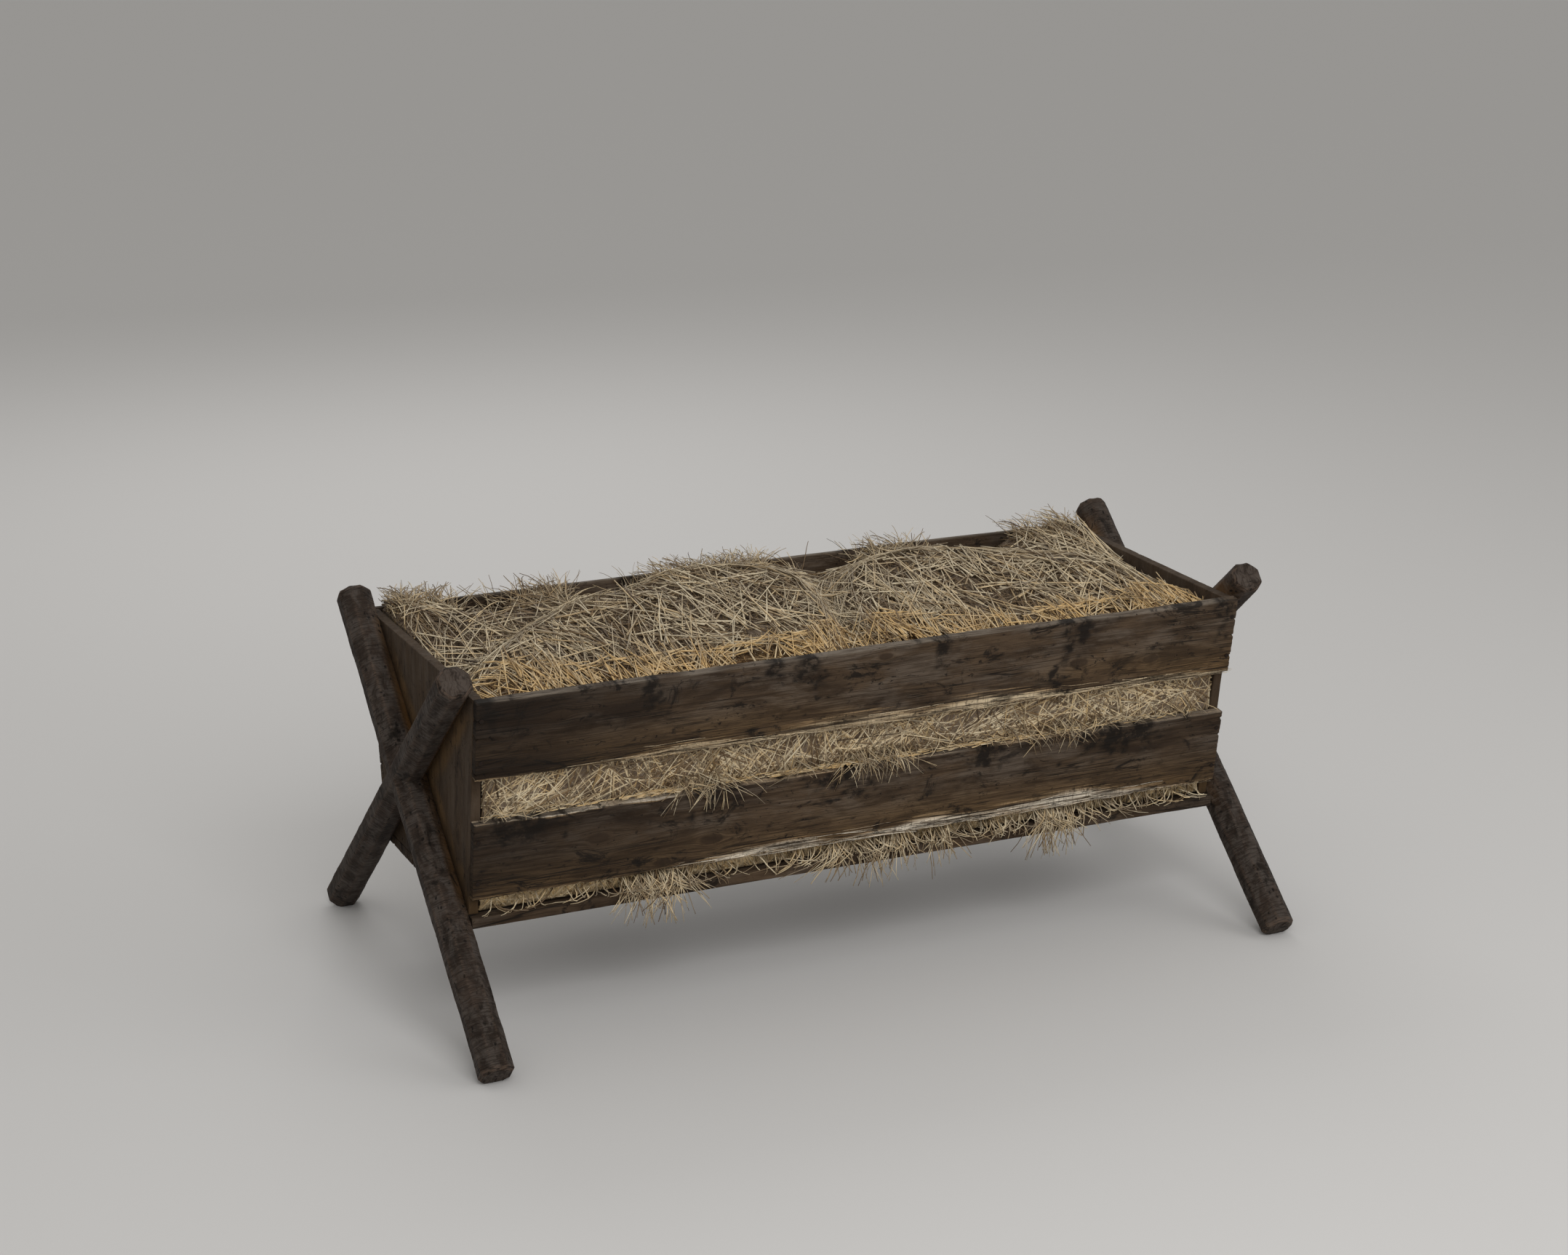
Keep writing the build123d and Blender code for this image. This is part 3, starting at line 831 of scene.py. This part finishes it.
def golden_edge(x):
    """Where the golden band behind the front slat ends."""
    edge = -0.188 + 0.016 * noise(np.stack([x, 0 * x, 0 * x], 1), (0.05, 1, 1), 142)
    return edge + sum(reach * bump(x, middle, width) for middle, width, reach in GOLD_REACH)


def golden(x, y):
    """How golden the hay is there."""
    return 1 - ramp(y - golden_edge(x), -0.022, 0.01)


def hay_bed():
    """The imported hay: a closed body that fills the trough, with its sides a little inside the slats."""
    inset, along, sides, tops, floors = 0.005, 260, 16, 72, 8  # the last four are counts of points
    xs, low = np.linspace(inset - END_INNER, END_INNER - inset, along), FLOOR_HIGH + 0.003
    front_top, back_top = (hay_top(xs, np.full_like(xs, y)) - inset for y in (-BED_EDGE, BED_EDGE))
    rows, mats = [], []
    for x, front_high, back_high in zip(xs, front_top, back_top):
        up, down = np.linspace(low, front_high, sides), np.linspace(back_high, low, sides)
        front_y, back_y = -(inner_y(up) - inset), inner_y(down) - inset
        top_y = np.linspace(front_y[-1], back_y[0], tops)[1:-1]
        under_y = np.linspace(back_y[-1], front_y[0], floors)[1:-1]
        row_y = np.concatenate([front_y, top_y, back_y, under_y])
        row_z = np.concatenate([up, hay_top(0 * top_y + x, top_y) - inset, down, 0 * under_y + low])
        run = np.cumsum(np.hypot(np.diff(row_y), np.diff(row_z)))
        rows.append(np.stack([0 * row_y + x, row_y, row_z], 1))
        mats.append(np.stack([0 * row_y + x, np.concatenate([[0], run]), 0 * row_y], 1))
    around = len(rows[0])
    points, mat = np.concatenate(rows), np.concatenate(mats)
    upright = np.abs(points[:, 1]) > inner_y(points[:, 2]) - 0.007
    in_gap = ramp(points[:, 2], LOWER_HIGH - 0.01, LOWER_HIGH + 0.01)
    in_gap = in_gap * (1 - ramp(points[:, 2], GAP_HIGH - 0.01, GAP_HIGH + 0.01))
    bulge = upright * in_gap * 0.0015 * (1 + noise(points, (0.05, 0.1, 0.03), 121))
    points[:, 1] += np.sign(points[:, 1]) * bulge
    uneven = 0.003 * layered(points, (0.03, 0.02, 0.02), 120)
    points[:, 2] += np.where(upright | (points[:, 2] < low + 0.001), 0, uneven)
    index = np.arange(len(points)).reshape(len(xs), around)
    faces = [np.roll(ring_faces(index), -1, 1)]
    for ring, order in ((index[0], 1), (index[-1], -1)):
        now = np.arange(around) + len(points)
        faces.append(fan_faces(now, now[-1] + 1)[:, ::order])
        cap = points[ring]
        cap = np.concatenate([cap, cap.mean(0)[None]])
        points, mat = np.concatenate([points, cap]), np.concatenate([mat, cap[:, [1, 2, 0]]])
    warm = golden(points[:, 0], points[:, 1]) * ramp(points[:, 2], GAP_HIGH + 0.02, GAP_HIGH + 0.06) * 0.8
    mesh_piece("hay_bed", points, faces, HAY_BED, "hay", "hay", ["hay_fill"], mat=mat, warm=warm)


def straws(name, lines, widths, tones, warms, body="hay"):
    """Straws along lines of points, each in its own colours, with a cell of its own in the UV layer."""
    points, faces, each = prisms(lines, widths, RANDOM)
    tones, warms = np.repeat(np.clip(tones, 0, 1), each), np.repeat(np.clip(warms, 0, 1), each)
    mesh = mesh_piece(name, points, faces, STRAW, body, "hay", tone=tones, warm=warms).data
    count, stops = lines.shape[:2]
    columns = max(1, round(math.sqrt(count / 8)))
    number = np.arange(count)[:, None, None]
    u = (number % columns + np.linspace(0.04, 0.96, stops)[:, None]) / columns
    v = (number // columns + np.array([0.25, 0.75, 0.25, 0.75])) / math.ceil(count / columns)
    places = np.stack(np.broadcast_arrays(u, v), -1).reshape(-1, 2)
    corners = np.empty(len(mesh.loops), np.int32)
    mesh.loops.foreach_get("vertex_index", corners)
    mesh.uv_layers.new(name="OFBake").data.foreach_set("uv", places[corners].astype(np.float32).ravel())


def kinked(lines, size):
    """The same lines with each inner point a little off."""
    off = normal(0, size, lines.shape)
    off[:, [0, -1]] = 0
    return lines + off


def curves(start, middle, end, stops, kink):
    """Bent lines from start to end, drawn towards middle, with that many points each."""
    t = np.linspace(0, 1, stops)[None, :, None]
    lines = (1 - t) ** 2 * start[:, None] + 2 * t * (1 - t) * middle[:, None] + t**2 * end[:, None]
    return kinked(lines, kink)


def surface_lines(x, y, yaw, length, lift, tilt, bow=0.03, stops=4, stiffness=0.0):
    """Lines lying on the hay's upper surface, lift above it, each tilted up a little towards one end.

    With a stiffness of 1 each is straight, and spans the surface's dips.
    """
    x, y, yaw, length, lift, tilt = (values[:, None] for values in (x, y, yaw, length, lift, tilt))
    t = np.linspace(-0.5, 0.5, stops)[None]
    bend = normal(0, bow, len(x))[:, None] * length * (1 - 4 * t**2)
    px = x + np.cos(yaw) * length * t - np.sin(yaw) * bend
    py = y + np.sin(yaw) * length * t + np.cos(yaw) * bend
    limit = END_INNER - 0.004
    px -= np.maximum(px.max(1) - limit, 0)[:, None] + np.minimum(px.min(1) + limit, 0)[:, None]
    py -= np.maximum(py.max(1) - TOP_BACK, 0)[:, None] + np.minimum(py.min(1) + TOP_FRONT, 0)[:, None]
    surface = hay_top(px.ravel(), py.ravel()).reshape(px.shape)
    slope = (surface * t).sum(1, keepdims=True) / (t * t).sum()
    surface += stiffness * (surface.mean(1, keepdims=True) + slope * t - surface)
    pz = surface + lift + tilt * length * (t + 0.4)
    return kinked(np.stack([px, py, pz], -1), 0.0006 - 0.0003 * stiffness)


def gathered(count, tufts, reach, turn):
    """For each straw its tuft's number, its offsets from the tuft's middle, and its turn from the tuft's."""
    owner = RANDOM.integers(0, tufts, count)
    return owner, normal(0, reach, (2, count)), normal(0, turn, count)


def across(seen, flatness=0.48):
    """Headings across the trough: from the front and a little above, they then seem to point every way."""
    return np.arctan2(np.sin(seen), flatness * np.cos(seen))


def under_straws(count):
    """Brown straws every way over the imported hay, golden behind the front slat."""
    x, y = uniform(-TOP_END, TOP_END, count), uniform(-BED_EDGE, BED_EDGE, count)
    kept = off_hollows(x, y)
    x, y = x[kept], y[kept]
    count = len(x)
    seen, length, lift = uniform(0, math.pi, count), uniform(0.04, 0.11, count), uniform(-0.004, 0.002, count)
    lines = surface_lines(x, y, across(seen, 0.6), length, lift, 0 * x, 0.05)
    # The tone is painted shade as well as chance: straws that lie lower are darker.
    tones = 0.3 + 30 * lift + normal(0, 0.13, count)
    warms = chance(count) ** 3 * 0.5 + golden(x, y) * 0.85
    straws("hay_under_straws", lines, uniform(0.002, 0.0033, count), tones, warms)


def over_straws(count, tufts=420):
    """Long pale straws in loose bundles, steep up the mounds' slopes and crossing between them."""
    middle = np.stack([uniform(-TOP_END, TOP_END, tufts), uniform(-0.24, 0.27, tufts)])
    place = np.stack([*middle, np.zeros(tufts)], 1)
    seen = math.pi / 2 + 0.6 * noise(place, (0.2, 0.18, 1), 131) + normal(0, 1.2, tufts)
    owner, offset, turn = gathered(count, tufts, 0.028, 0.38)
    x, y = middle[:, owner] + offset
    kept = off_hollows(x, y) & (chance(count) > 0.75 * golden(x, y)) & (chance(count) > 0.65 * on_crest(x, y))
    x, y, seen = x[kept], y[kept], (seen[owner] + turn)[kept]
    count = len(x)
    length = uniform(0.055, 0.11, count) * (1 + 0.95 * np.abs(np.sin(seen)))
    lift = uniform(0.001, 0.0085, count)
    tilt = np.where(chance(count) < 0.1, uniform(0.05, 0.15, count), normal(0.005, 0.03, count))
    x = np.clip(x, -TOP_END, TOP_END)
    lines = surface_lines(x, y, across(seen), length, lift, tilt, 0.006, 5, 0.65)
    # The tone is painted light and shade as well as chance: straws higher over the hay are paler.
    tones = 0.45 + 52 * lift + normal(0, 0.3, count)
    straws("hay_over_straws", lines, uniform(0.0025, 0.0044, count), tones, chance(count) ** 3 * 0.55)


def crest_straws(count):
    """Fine straws lying along the edges of the two mounds."""
    middle_x, middle_y, long, wide, turn = np.array(MOUNDS)[RANDOM.integers(0, 2, count)].T
    around, out = uniform(0, 2 * math.pi, count), normal(0.985, 0.035, count)
    u, v = long * np.cos(around) * out, wide * np.sin(around) * out
    du, dv = -long * np.sin(around), wide * np.cos(around)
    cos, sin = np.cos(turn), np.sin(turn)
    x, y = middle_x + u * cos - v * sin, middle_y + u * sin + v * cos
    yaw = np.arctan2(du * sin + dv * cos, du * cos - dv * sin) + normal(0, 0.16, count)
    kept = (np.abs(x) < END_INNER - 0.03) & (np.abs(y + 0.02) < 0.24) & off_hollows(x, y)
    x, y, yaw = x[kept], y[kept], yaw[kept]
    count = len(x)
    lift, length = uniform(0.003, 0.012, count), uniform(0.08, 0.18, count)
    lines = surface_lines(x, y, yaw, length, lift, normal(0, 0.02, count), 0.03, 6)
    # The tone is painted light and shade as well as chance: straws higher over the hay are paler.
    tones = 0.36 + 32 * lift + normal(0, 0.16, count)
    straws("hay_crest_straws", lines, uniform(0.0018, 0.003, count), tones, chance(count) ** 3 * 0.5)


def golden_straws(count, tufts=130):
    """The golden band behind the front slat: fans of straws standing up against the mounds."""
    middle_x, middle_y = uniform(-GOLD_END, GOLD_END, 6 * tufts), uniform(-0.28, -0.08, 6 * tufts)
    inside = chance(6 * tufts) < golden(middle_x, middle_y + 0.012)
    middle_x, middle_y = middle_x[inside][:tufts], middle_y[inside][:tufts]
    tufts = len(middle_x)
    heading = math.pi / 2 + normal(0, 0.85, tufts)
    owner, offset, turn = gathered(count, tufts, 0.017, 0.4)
    x, y = middle_x[owner] + 1.3 * offset[0], middle_y[owner] + 0.5 * offset[1]
    seen = heading[owner] + turn
    length = uniform(0.035, 0.075, count) * (1 + 0.6 * np.abs(np.sin(seen)))
    lift, tilt = uniform(0.003, 0.012, count), normal(0.07, 0.07, count)
    inner_x = np.clip(x, -GOLD_END, GOLD_END)
    lines = surface_lines(inner_x, y, across(seen), length, lift, tilt, 0.008, 4, 0.8)
    # The tone is painted light and shade as well as chance: straws higher over the hay are paler.
    tones = 0.3 + 46 * lift + normal(0, 0.26, count)
    warms = 0.26 + 0.5 * golden(x, y) + normal(0, 0.28, count)
    straws("hay_golden_straws", lines, uniform(0.0025, 0.0044, count), tones, warms)


def golden_edge_straws(count):
    """Bright straws lying along the golden band's edge."""
    x = uniform(-GOLD_END, GOLD_END, count)
    y = golden_edge(x) + normal(-0.008, 0.007, count)
    yaw, length, lift = normal(0, 0.35, count), uniform(0.03, 0.07, count), uniform(0.008, 0.015, count)
    lines = surface_lines(x, y, yaw, length, lift, normal(0, 0.05, count), 0.02)
    widths, warms = uniform(0.0024, 0.004, count), uniform(0.5, 1.0, count)
    straws("hay_golden_edge", lines, widths, normal(0.85, 0.15, count), warms)


def on_humps(count, narrow):
    """Places along the back slat, few of them over the hollows."""
    x = uniform(-TUFT_END, TUFT_END, 6 * count)
    share = np.ones(len(x))
    for middle, width, _ in HOLLOWS:
        share -= bump(x, middle, width * narrow)
    return x[chance(len(x)) < share][:count]


def back_rim_straws(count, tufts=84):
    """Wisps in tufts that fan up and out over the back slat between the hollows."""
    middle_x = on_humps(tufts, 1.3)
    middle_y, heading = uniform(0.205, 0.27, tufts), normal(0, 0.6, tufts)
    owner, offset, turn = gathered(count, tufts, 0.011, 0.5)
    x = np.clip(middle_x[owner] + offset[0], -TUFT_END, TUFT_END)
    y = np.minimum(middle_y[owner] + offset[1], 0.28)
    start = np.stack([x, y, hay_top(x, y) - 0.002], 1)
    length, spread, rise = uniform(0.025, 0.08, count), heading[owner] + turn, uniform(0.02, 0.5, count)
    end = start + unit(np.stack([np.sin(spread), np.cos(spread) * 0.85, rise], 1)) * length[:, None]
    limit = END_INNER - 0.003
    end[:, 0], end[:, 1] = np.clip(end[:, 0], -limit, limit), np.minimum(end[:, 1], RIM_BACK)
    over = ramp(end[:, 1], 0.275, 0.29)
    end[:, 2] = np.clip(end[:, 2], 0, SLAT_TOP + RIM_RISE)
    end[:, 2] = np.maximum(end[:, 2], over * (SLAT_TOP + uniform(0.001, 0.026, count)))
    middle = (start + end) / 2 + normal(0, 0.006, (count, 3)) + (0, 0, 0.01)
    middle[:, 2] = np.maximum(middle[:, 2], over * (SLAT_TOP + 0.006))
    lines = curves(start, middle, end, 5, 0.0007)
    tones = normal(0.55, 0.24, count)
    straws("hay_back_rim", lines, uniform(0.0015, 0.0026, count), tones, chance(count) ** 2 * 0.6)


def on_side(x, depth, z, side):
    """Points that far in from the slats' outer faces, on the front (side -1) or the back (side 1)."""
    return np.stack([x, side * (outer_y(z) - depth), z], 1)


def side_straws(name, count, side, low, high, upright, tone, tufts=120):
    """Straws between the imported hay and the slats' inner faces, from low to high."""
    limit = END_INNER - 0.002
    middle_x, middle_z = uniform(-limit, limit, tufts), uniform(low - 0.012, high + 0.012, tufts)
    heading = math.pi / 2 + RANDOM.choice((-1, 1), tufts) * normal(upright, 0.4, tufts)
    owner, offset, turn = gathered(count, tufts, 0.022, 0.32)
    length, angle = uniform(0.07, 0.17, count), heading[owner] + turn
    dx, dz = np.cos(angle) * length / 2, np.sin(angle) * length / 2
    x = np.clip(middle_x[owner] + 1.4 * offset[0], -limit + np.abs(dx), limit - np.abs(dx))
    z = middle_z[owner] + offset[1]
    z = np.clip(z, FLOOR_HIGH + 0.006 + np.abs(dz), SLAT_TOP - 0.035 - np.abs(dz))
    depth = SLAT_THICKNESS + uniform(0.0023, 0.0055, (2, count))
    start, end = on_side(x - dx, depth[0], z - dz, side), on_side(x + dx, depth[1], z + dz, side)
    middle = (start + end) / 2 + normal(0, 0.0022, (count, 3)) * (1, 0.1, 1)
    lines = curves(start, middle, end, 4, 0.0004)
    # Painted shade: the further in behind the slats a straw lies, the darker its tone.
    tones = tone - 60 * (depth.mean(0) - SLAT_THICKNESS - 0.004) + normal(0, 0.18, count)
    warms = chance(count) ** 2 * 0.55 + 0.25 * ramp(z, high - 0.03, high)
    straws(name, lines, uniform(0.0027, 0.0048, count), tones, warms)


def end_straws(name, count, sign):
    """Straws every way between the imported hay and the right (sign 1) or left end board."""
    angle, length = uniform(0, math.pi, count), uniform(0.05, 0.13, count)
    dy, dz = np.cos(angle) * length / 2, np.sin(angle) * length / 2
    low = FLOOR_HIGH + 0.006 + dz
    y = uniform(-1, 1, count) * (inner_y(low - dz) - 0.01 - np.abs(dy))
    x = sign * (END_INNER - uniform(0.0022, 0.005, count))
    z = low + chance(count) * (hay_top(x, y) - 0.015 - dz - low)
    middle, step = np.stack([x, y, z], 1), np.stack([0 * dy, dy, dz], 1)
    lines = kinked(np.stack([middle - step, middle, middle + step], 1), 0.0003)
    tones, warms = normal(0.55, 0.28, count), chance(count) ** 2 * 0.55
    straws(name, lines, uniform(0.002, 0.0038, count), tones, warms)


def in_clumps(count, clumps, tufts, loose, spread):
    """Places in tufts, the tufts in clumps (place, width), with a share of the straws loose between them.

    Also how near its clump's middle each is, and how far along the trough it leans.
    """
    middles, widths = np.array(clumps)[RANDOM.integers(0, len(clumps), tufts)].T
    tuft_x = middles + normal(0, 0.5, tufts) * widths
    near = bump(tuft_x, middles, widths)
    owner = RANDOM.integers(0, tufts, count)
    x = tuft_x[owner] + normal(0, 0.012, count)
    strays = chance(count) < loose
    x = np.where(strays, uniform(-STRAY_END, STRAY_END, count), x)
    lean = normal(0, 0.8 * spread, tufts)[owner] + normal(0, spread, count)
    return np.clip(x, -TUFT_END, TUFT_END), np.where(strays, chance(count) * 0.18, near[owner]), lean


def drooping_straws(name, count, side, clumps):
    """Straws caught in the wide gap that hang over the lower slat, longest in the clumps."""
    x, near, lean = in_clumps(count, clumps, 56, 0.3, 0.026)
    start = on_side(x, BEHIND_SLAT, LOWER_HIGH + uniform(0.003, 0.028, count), side)
    end_z = LOWER_HIGH + 0.004 - chance(count) ** 1.3 * 0.052 * near
    end = on_side(np.clip(x + lean, -TIP_END, TIP_END), -uniform(0.0015, 0.01, count), end_z, side)
    middle_z = np.maximum(start[:, 2] * 0.4 + end_z * 0.6, LOWER_HIGH) + uniform(0.002, 0.012, count)
    middle = on_side(x + lean * uniform(0.3, 0.6, count), -uniform(0.003, 0.012, count), middle_z, side)
    lines = curves(start, middle, end, 6, 0.0005)
    tones, widths = normal(0.6, 0.26, count), uniform(0.0013, 0.0025, count)
    straws(name, lines, widths, tones, chance(count) ** 2 * 0.6, "rack")


def rim_bits(name, count, side, clumps):
    """Bright broken bits lying on the lower slat's top edge and leaning against the hay behind it."""
    x, _, lean = in_clumps(count, clumps, 60, 0.3, 0.012)
    depth, z = uniform(0.001, SLAT_THICKNESS, count), LOWER_HIGH + uniform(0.0015, 0.007, count)
    turned, length = normal(0, 0.5, count), uniform(0.01, 0.034, count)
    step = np.stack([np.cos(turned), 0.3 * np.sin(turned), 0.25 * np.abs(np.sin(turned))], 1)
    step = step * length[:, None] / 2
    middle = on_side(x + lean, depth, z, side)
    lines = np.stack([middle - step * (1, 1, 0), middle, middle + step], 1)
    tones, warms = normal(1.0, 0.2, count), uniform(0.2, 1.0, count)
    straws(name, lines, uniform(0.0018, 0.0034, count), tones, warms, "rack")


def hanging_straws(name, count, side, clumps):
    """Straws caught in the low gap that hang over the floor board's edge, far below it in the clumps."""
    x, near, lean = in_clumps(count, clumps, 60, 0.3, 0.026)
    start = on_side(x, BEHIND_SLAT, uniform(FLOOR_HIGH + 0.006, LOWER_LOW + 0.004, count), side)
    between = 0.24 * (1 - ramp(np.abs(x), 0.44, 0.56))
    reach = 0.08 * np.maximum(near, between) * uniform(0.1, 1.0, count) ** 1.25
    end = on_side(np.clip(x + lean, -TIP_END, TIP_END), 0 * x, 0 * x + FLOOR_HIGH, side)
    end[:, 1] += side * uniform(0.002, 0.012, count)
    end[:, 2] = FLOOR_HIGH + 0.008 - reach
    middle_x, out = x + lean * uniform(0.0, 0.6, count), uniform(0.006, 0.016, count)
    middle = on_side(middle_x, -out, FLOOR_HIGH + uniform(0.002, 0.01, count), side)
    lines = curves(start, middle, end, 7, 0.0005)
    tones, widths = normal(0.66, 0.26, count), uniform(0.002, 0.0034, count)
    straws(name, lines, widths, tones, chance(count) ** 2 * 0.5, "rack")


# The clumps (place, width) of the straws that hang out in front (-1) and behind (1), and of the broken bits.
DROOPS = {
    -1: ((-0.31, 0.09), (-0.04, 0.09), (0.04, 0.06), (0.39, 0.09)),
    1: ((0.45, 0.09), (0.05, 0.12), (-0.42, 0.1)),
}
FRINGES = {
    -1: ((-0.4, 0.1), (0.02, 0.1), (0.12, 0.09), (0.41, 0.1)),
    1: ((0.5, 0.09), (0.12, 0.1), (-0.35, 0.12)),
}
RIM_BITS = ((-0.42, 0.05), (-0.14, 0.1), (0.08, 0.12), (0.36, 0.12))

hay_bed()
under_straws(4000)
over_straws(2050)
crest_straws(2000)
golden_straws(1000)
golden_edge_straws(166)
back_rim_straws(1300)
for side, name in ((-1, "hay_front_"), (1, "hay_back_")):
    # The deep straws' low tone is painted shade, and the gap straws' high tone is painted light where the
    # upper slat shades the wide gap.
    side_straws(name + "deep_straws", 950, side, LOWER_HIGH, GAP_HIGH, 0.8, 0.34)
    side_straws(name + "gap_straws", 720, side, LOWER_HIGH, GAP_HIGH, 0.75, 1.35)
    side_straws(name + "low_straws", 1300, side, FLOOR_HIGH, LOWER_LOW, 0.45, 0.8)
    side_straws(name + "top_straws", 700, side, GAP_HIGH + 0.02, SLAT_TOP - 0.05, 0.75, 0.5)
    side_straws(name + "middle_straws", 600, side, LOWER_LOW + 0.02, LOWER_HIGH - 0.02, 0.75, 0.5)
    drooping_straws(name + "droops", 360, side, DROOPS[side])
    rim_bits(name + "rim_bits", 420, side, RIM_BITS)
    hanging_straws(name + "fringe", 680, side, FRINGES[side])
end_straws("hay_left_straws", 900, -1)
end_straws("hay_right_straws", 900, 1)


# --- Floor, light and camera ---


def stage():
    """A plain pale floor, large enough to have no edge in the camera's view, and an even sky."""
    s = Shader("pale_floor")
    s.feed(s.surface, {"Base Color": (*FLOOR_COLOUR, 1), "Roughness": 0.9})
    mesh, half = bpy.data.meshes.new("floor"), FLOOR_SIZE / 2
    corners = (-half, -half, 0), (half, -half, 0), (half, half, 0), (-half, half, 0)
    mesh.from_pydata(corners, [], [(0, 1, 2, 3)])
    mesh.materials.append(s.material)
    add_object("floor", mesh)
    world = bpy.data.worlds.new("studio")
    world.use_nodes = True
    sky = world.node_tree.nodes["Background"].inputs
    sky["Color"].default_value, sky["Strength"].default_value = (*SKY_COLOUR, 1), SKY_STRENGTH
    bpy.context.scene.world = world


def area_light(name, place, power):
    """A square soft light at place, facing the object."""
    light = bpy.data.lights.new(name, "AREA")
    light.size, light.energy = LAMP_SIZE, power
    lamp = add_object(name, light)
    lamp.location = place
    x, y, z = np.array(LAMP_TARGET, float) - place
    lamp.rotation_euler = math.atan2(math.hypot(x, y), -z), 0, math.atan2(y, x) - math.pi / 2


def camera():
    """The camera at the photograph's viewing angle."""
    data = bpy.data.cameras.new("camera")
    data.lens, data.sensor_width, data.clip_end = CAMERA_LENS, 36, 100
    view = add_object("camera", data)
    view.location = CAMERA_PLACE
    view.rotation_euler = math.radians(90 - CAMERA_DIP), 0, math.radians(CAMERA_YAW)
    bpy.context.scene.camera = view


stage()
for name, (place, power) in LAMPS.items():
    area_light(name, place, power)
camera()
bpy.context.scene.view_settings.view_transform = "Standard"
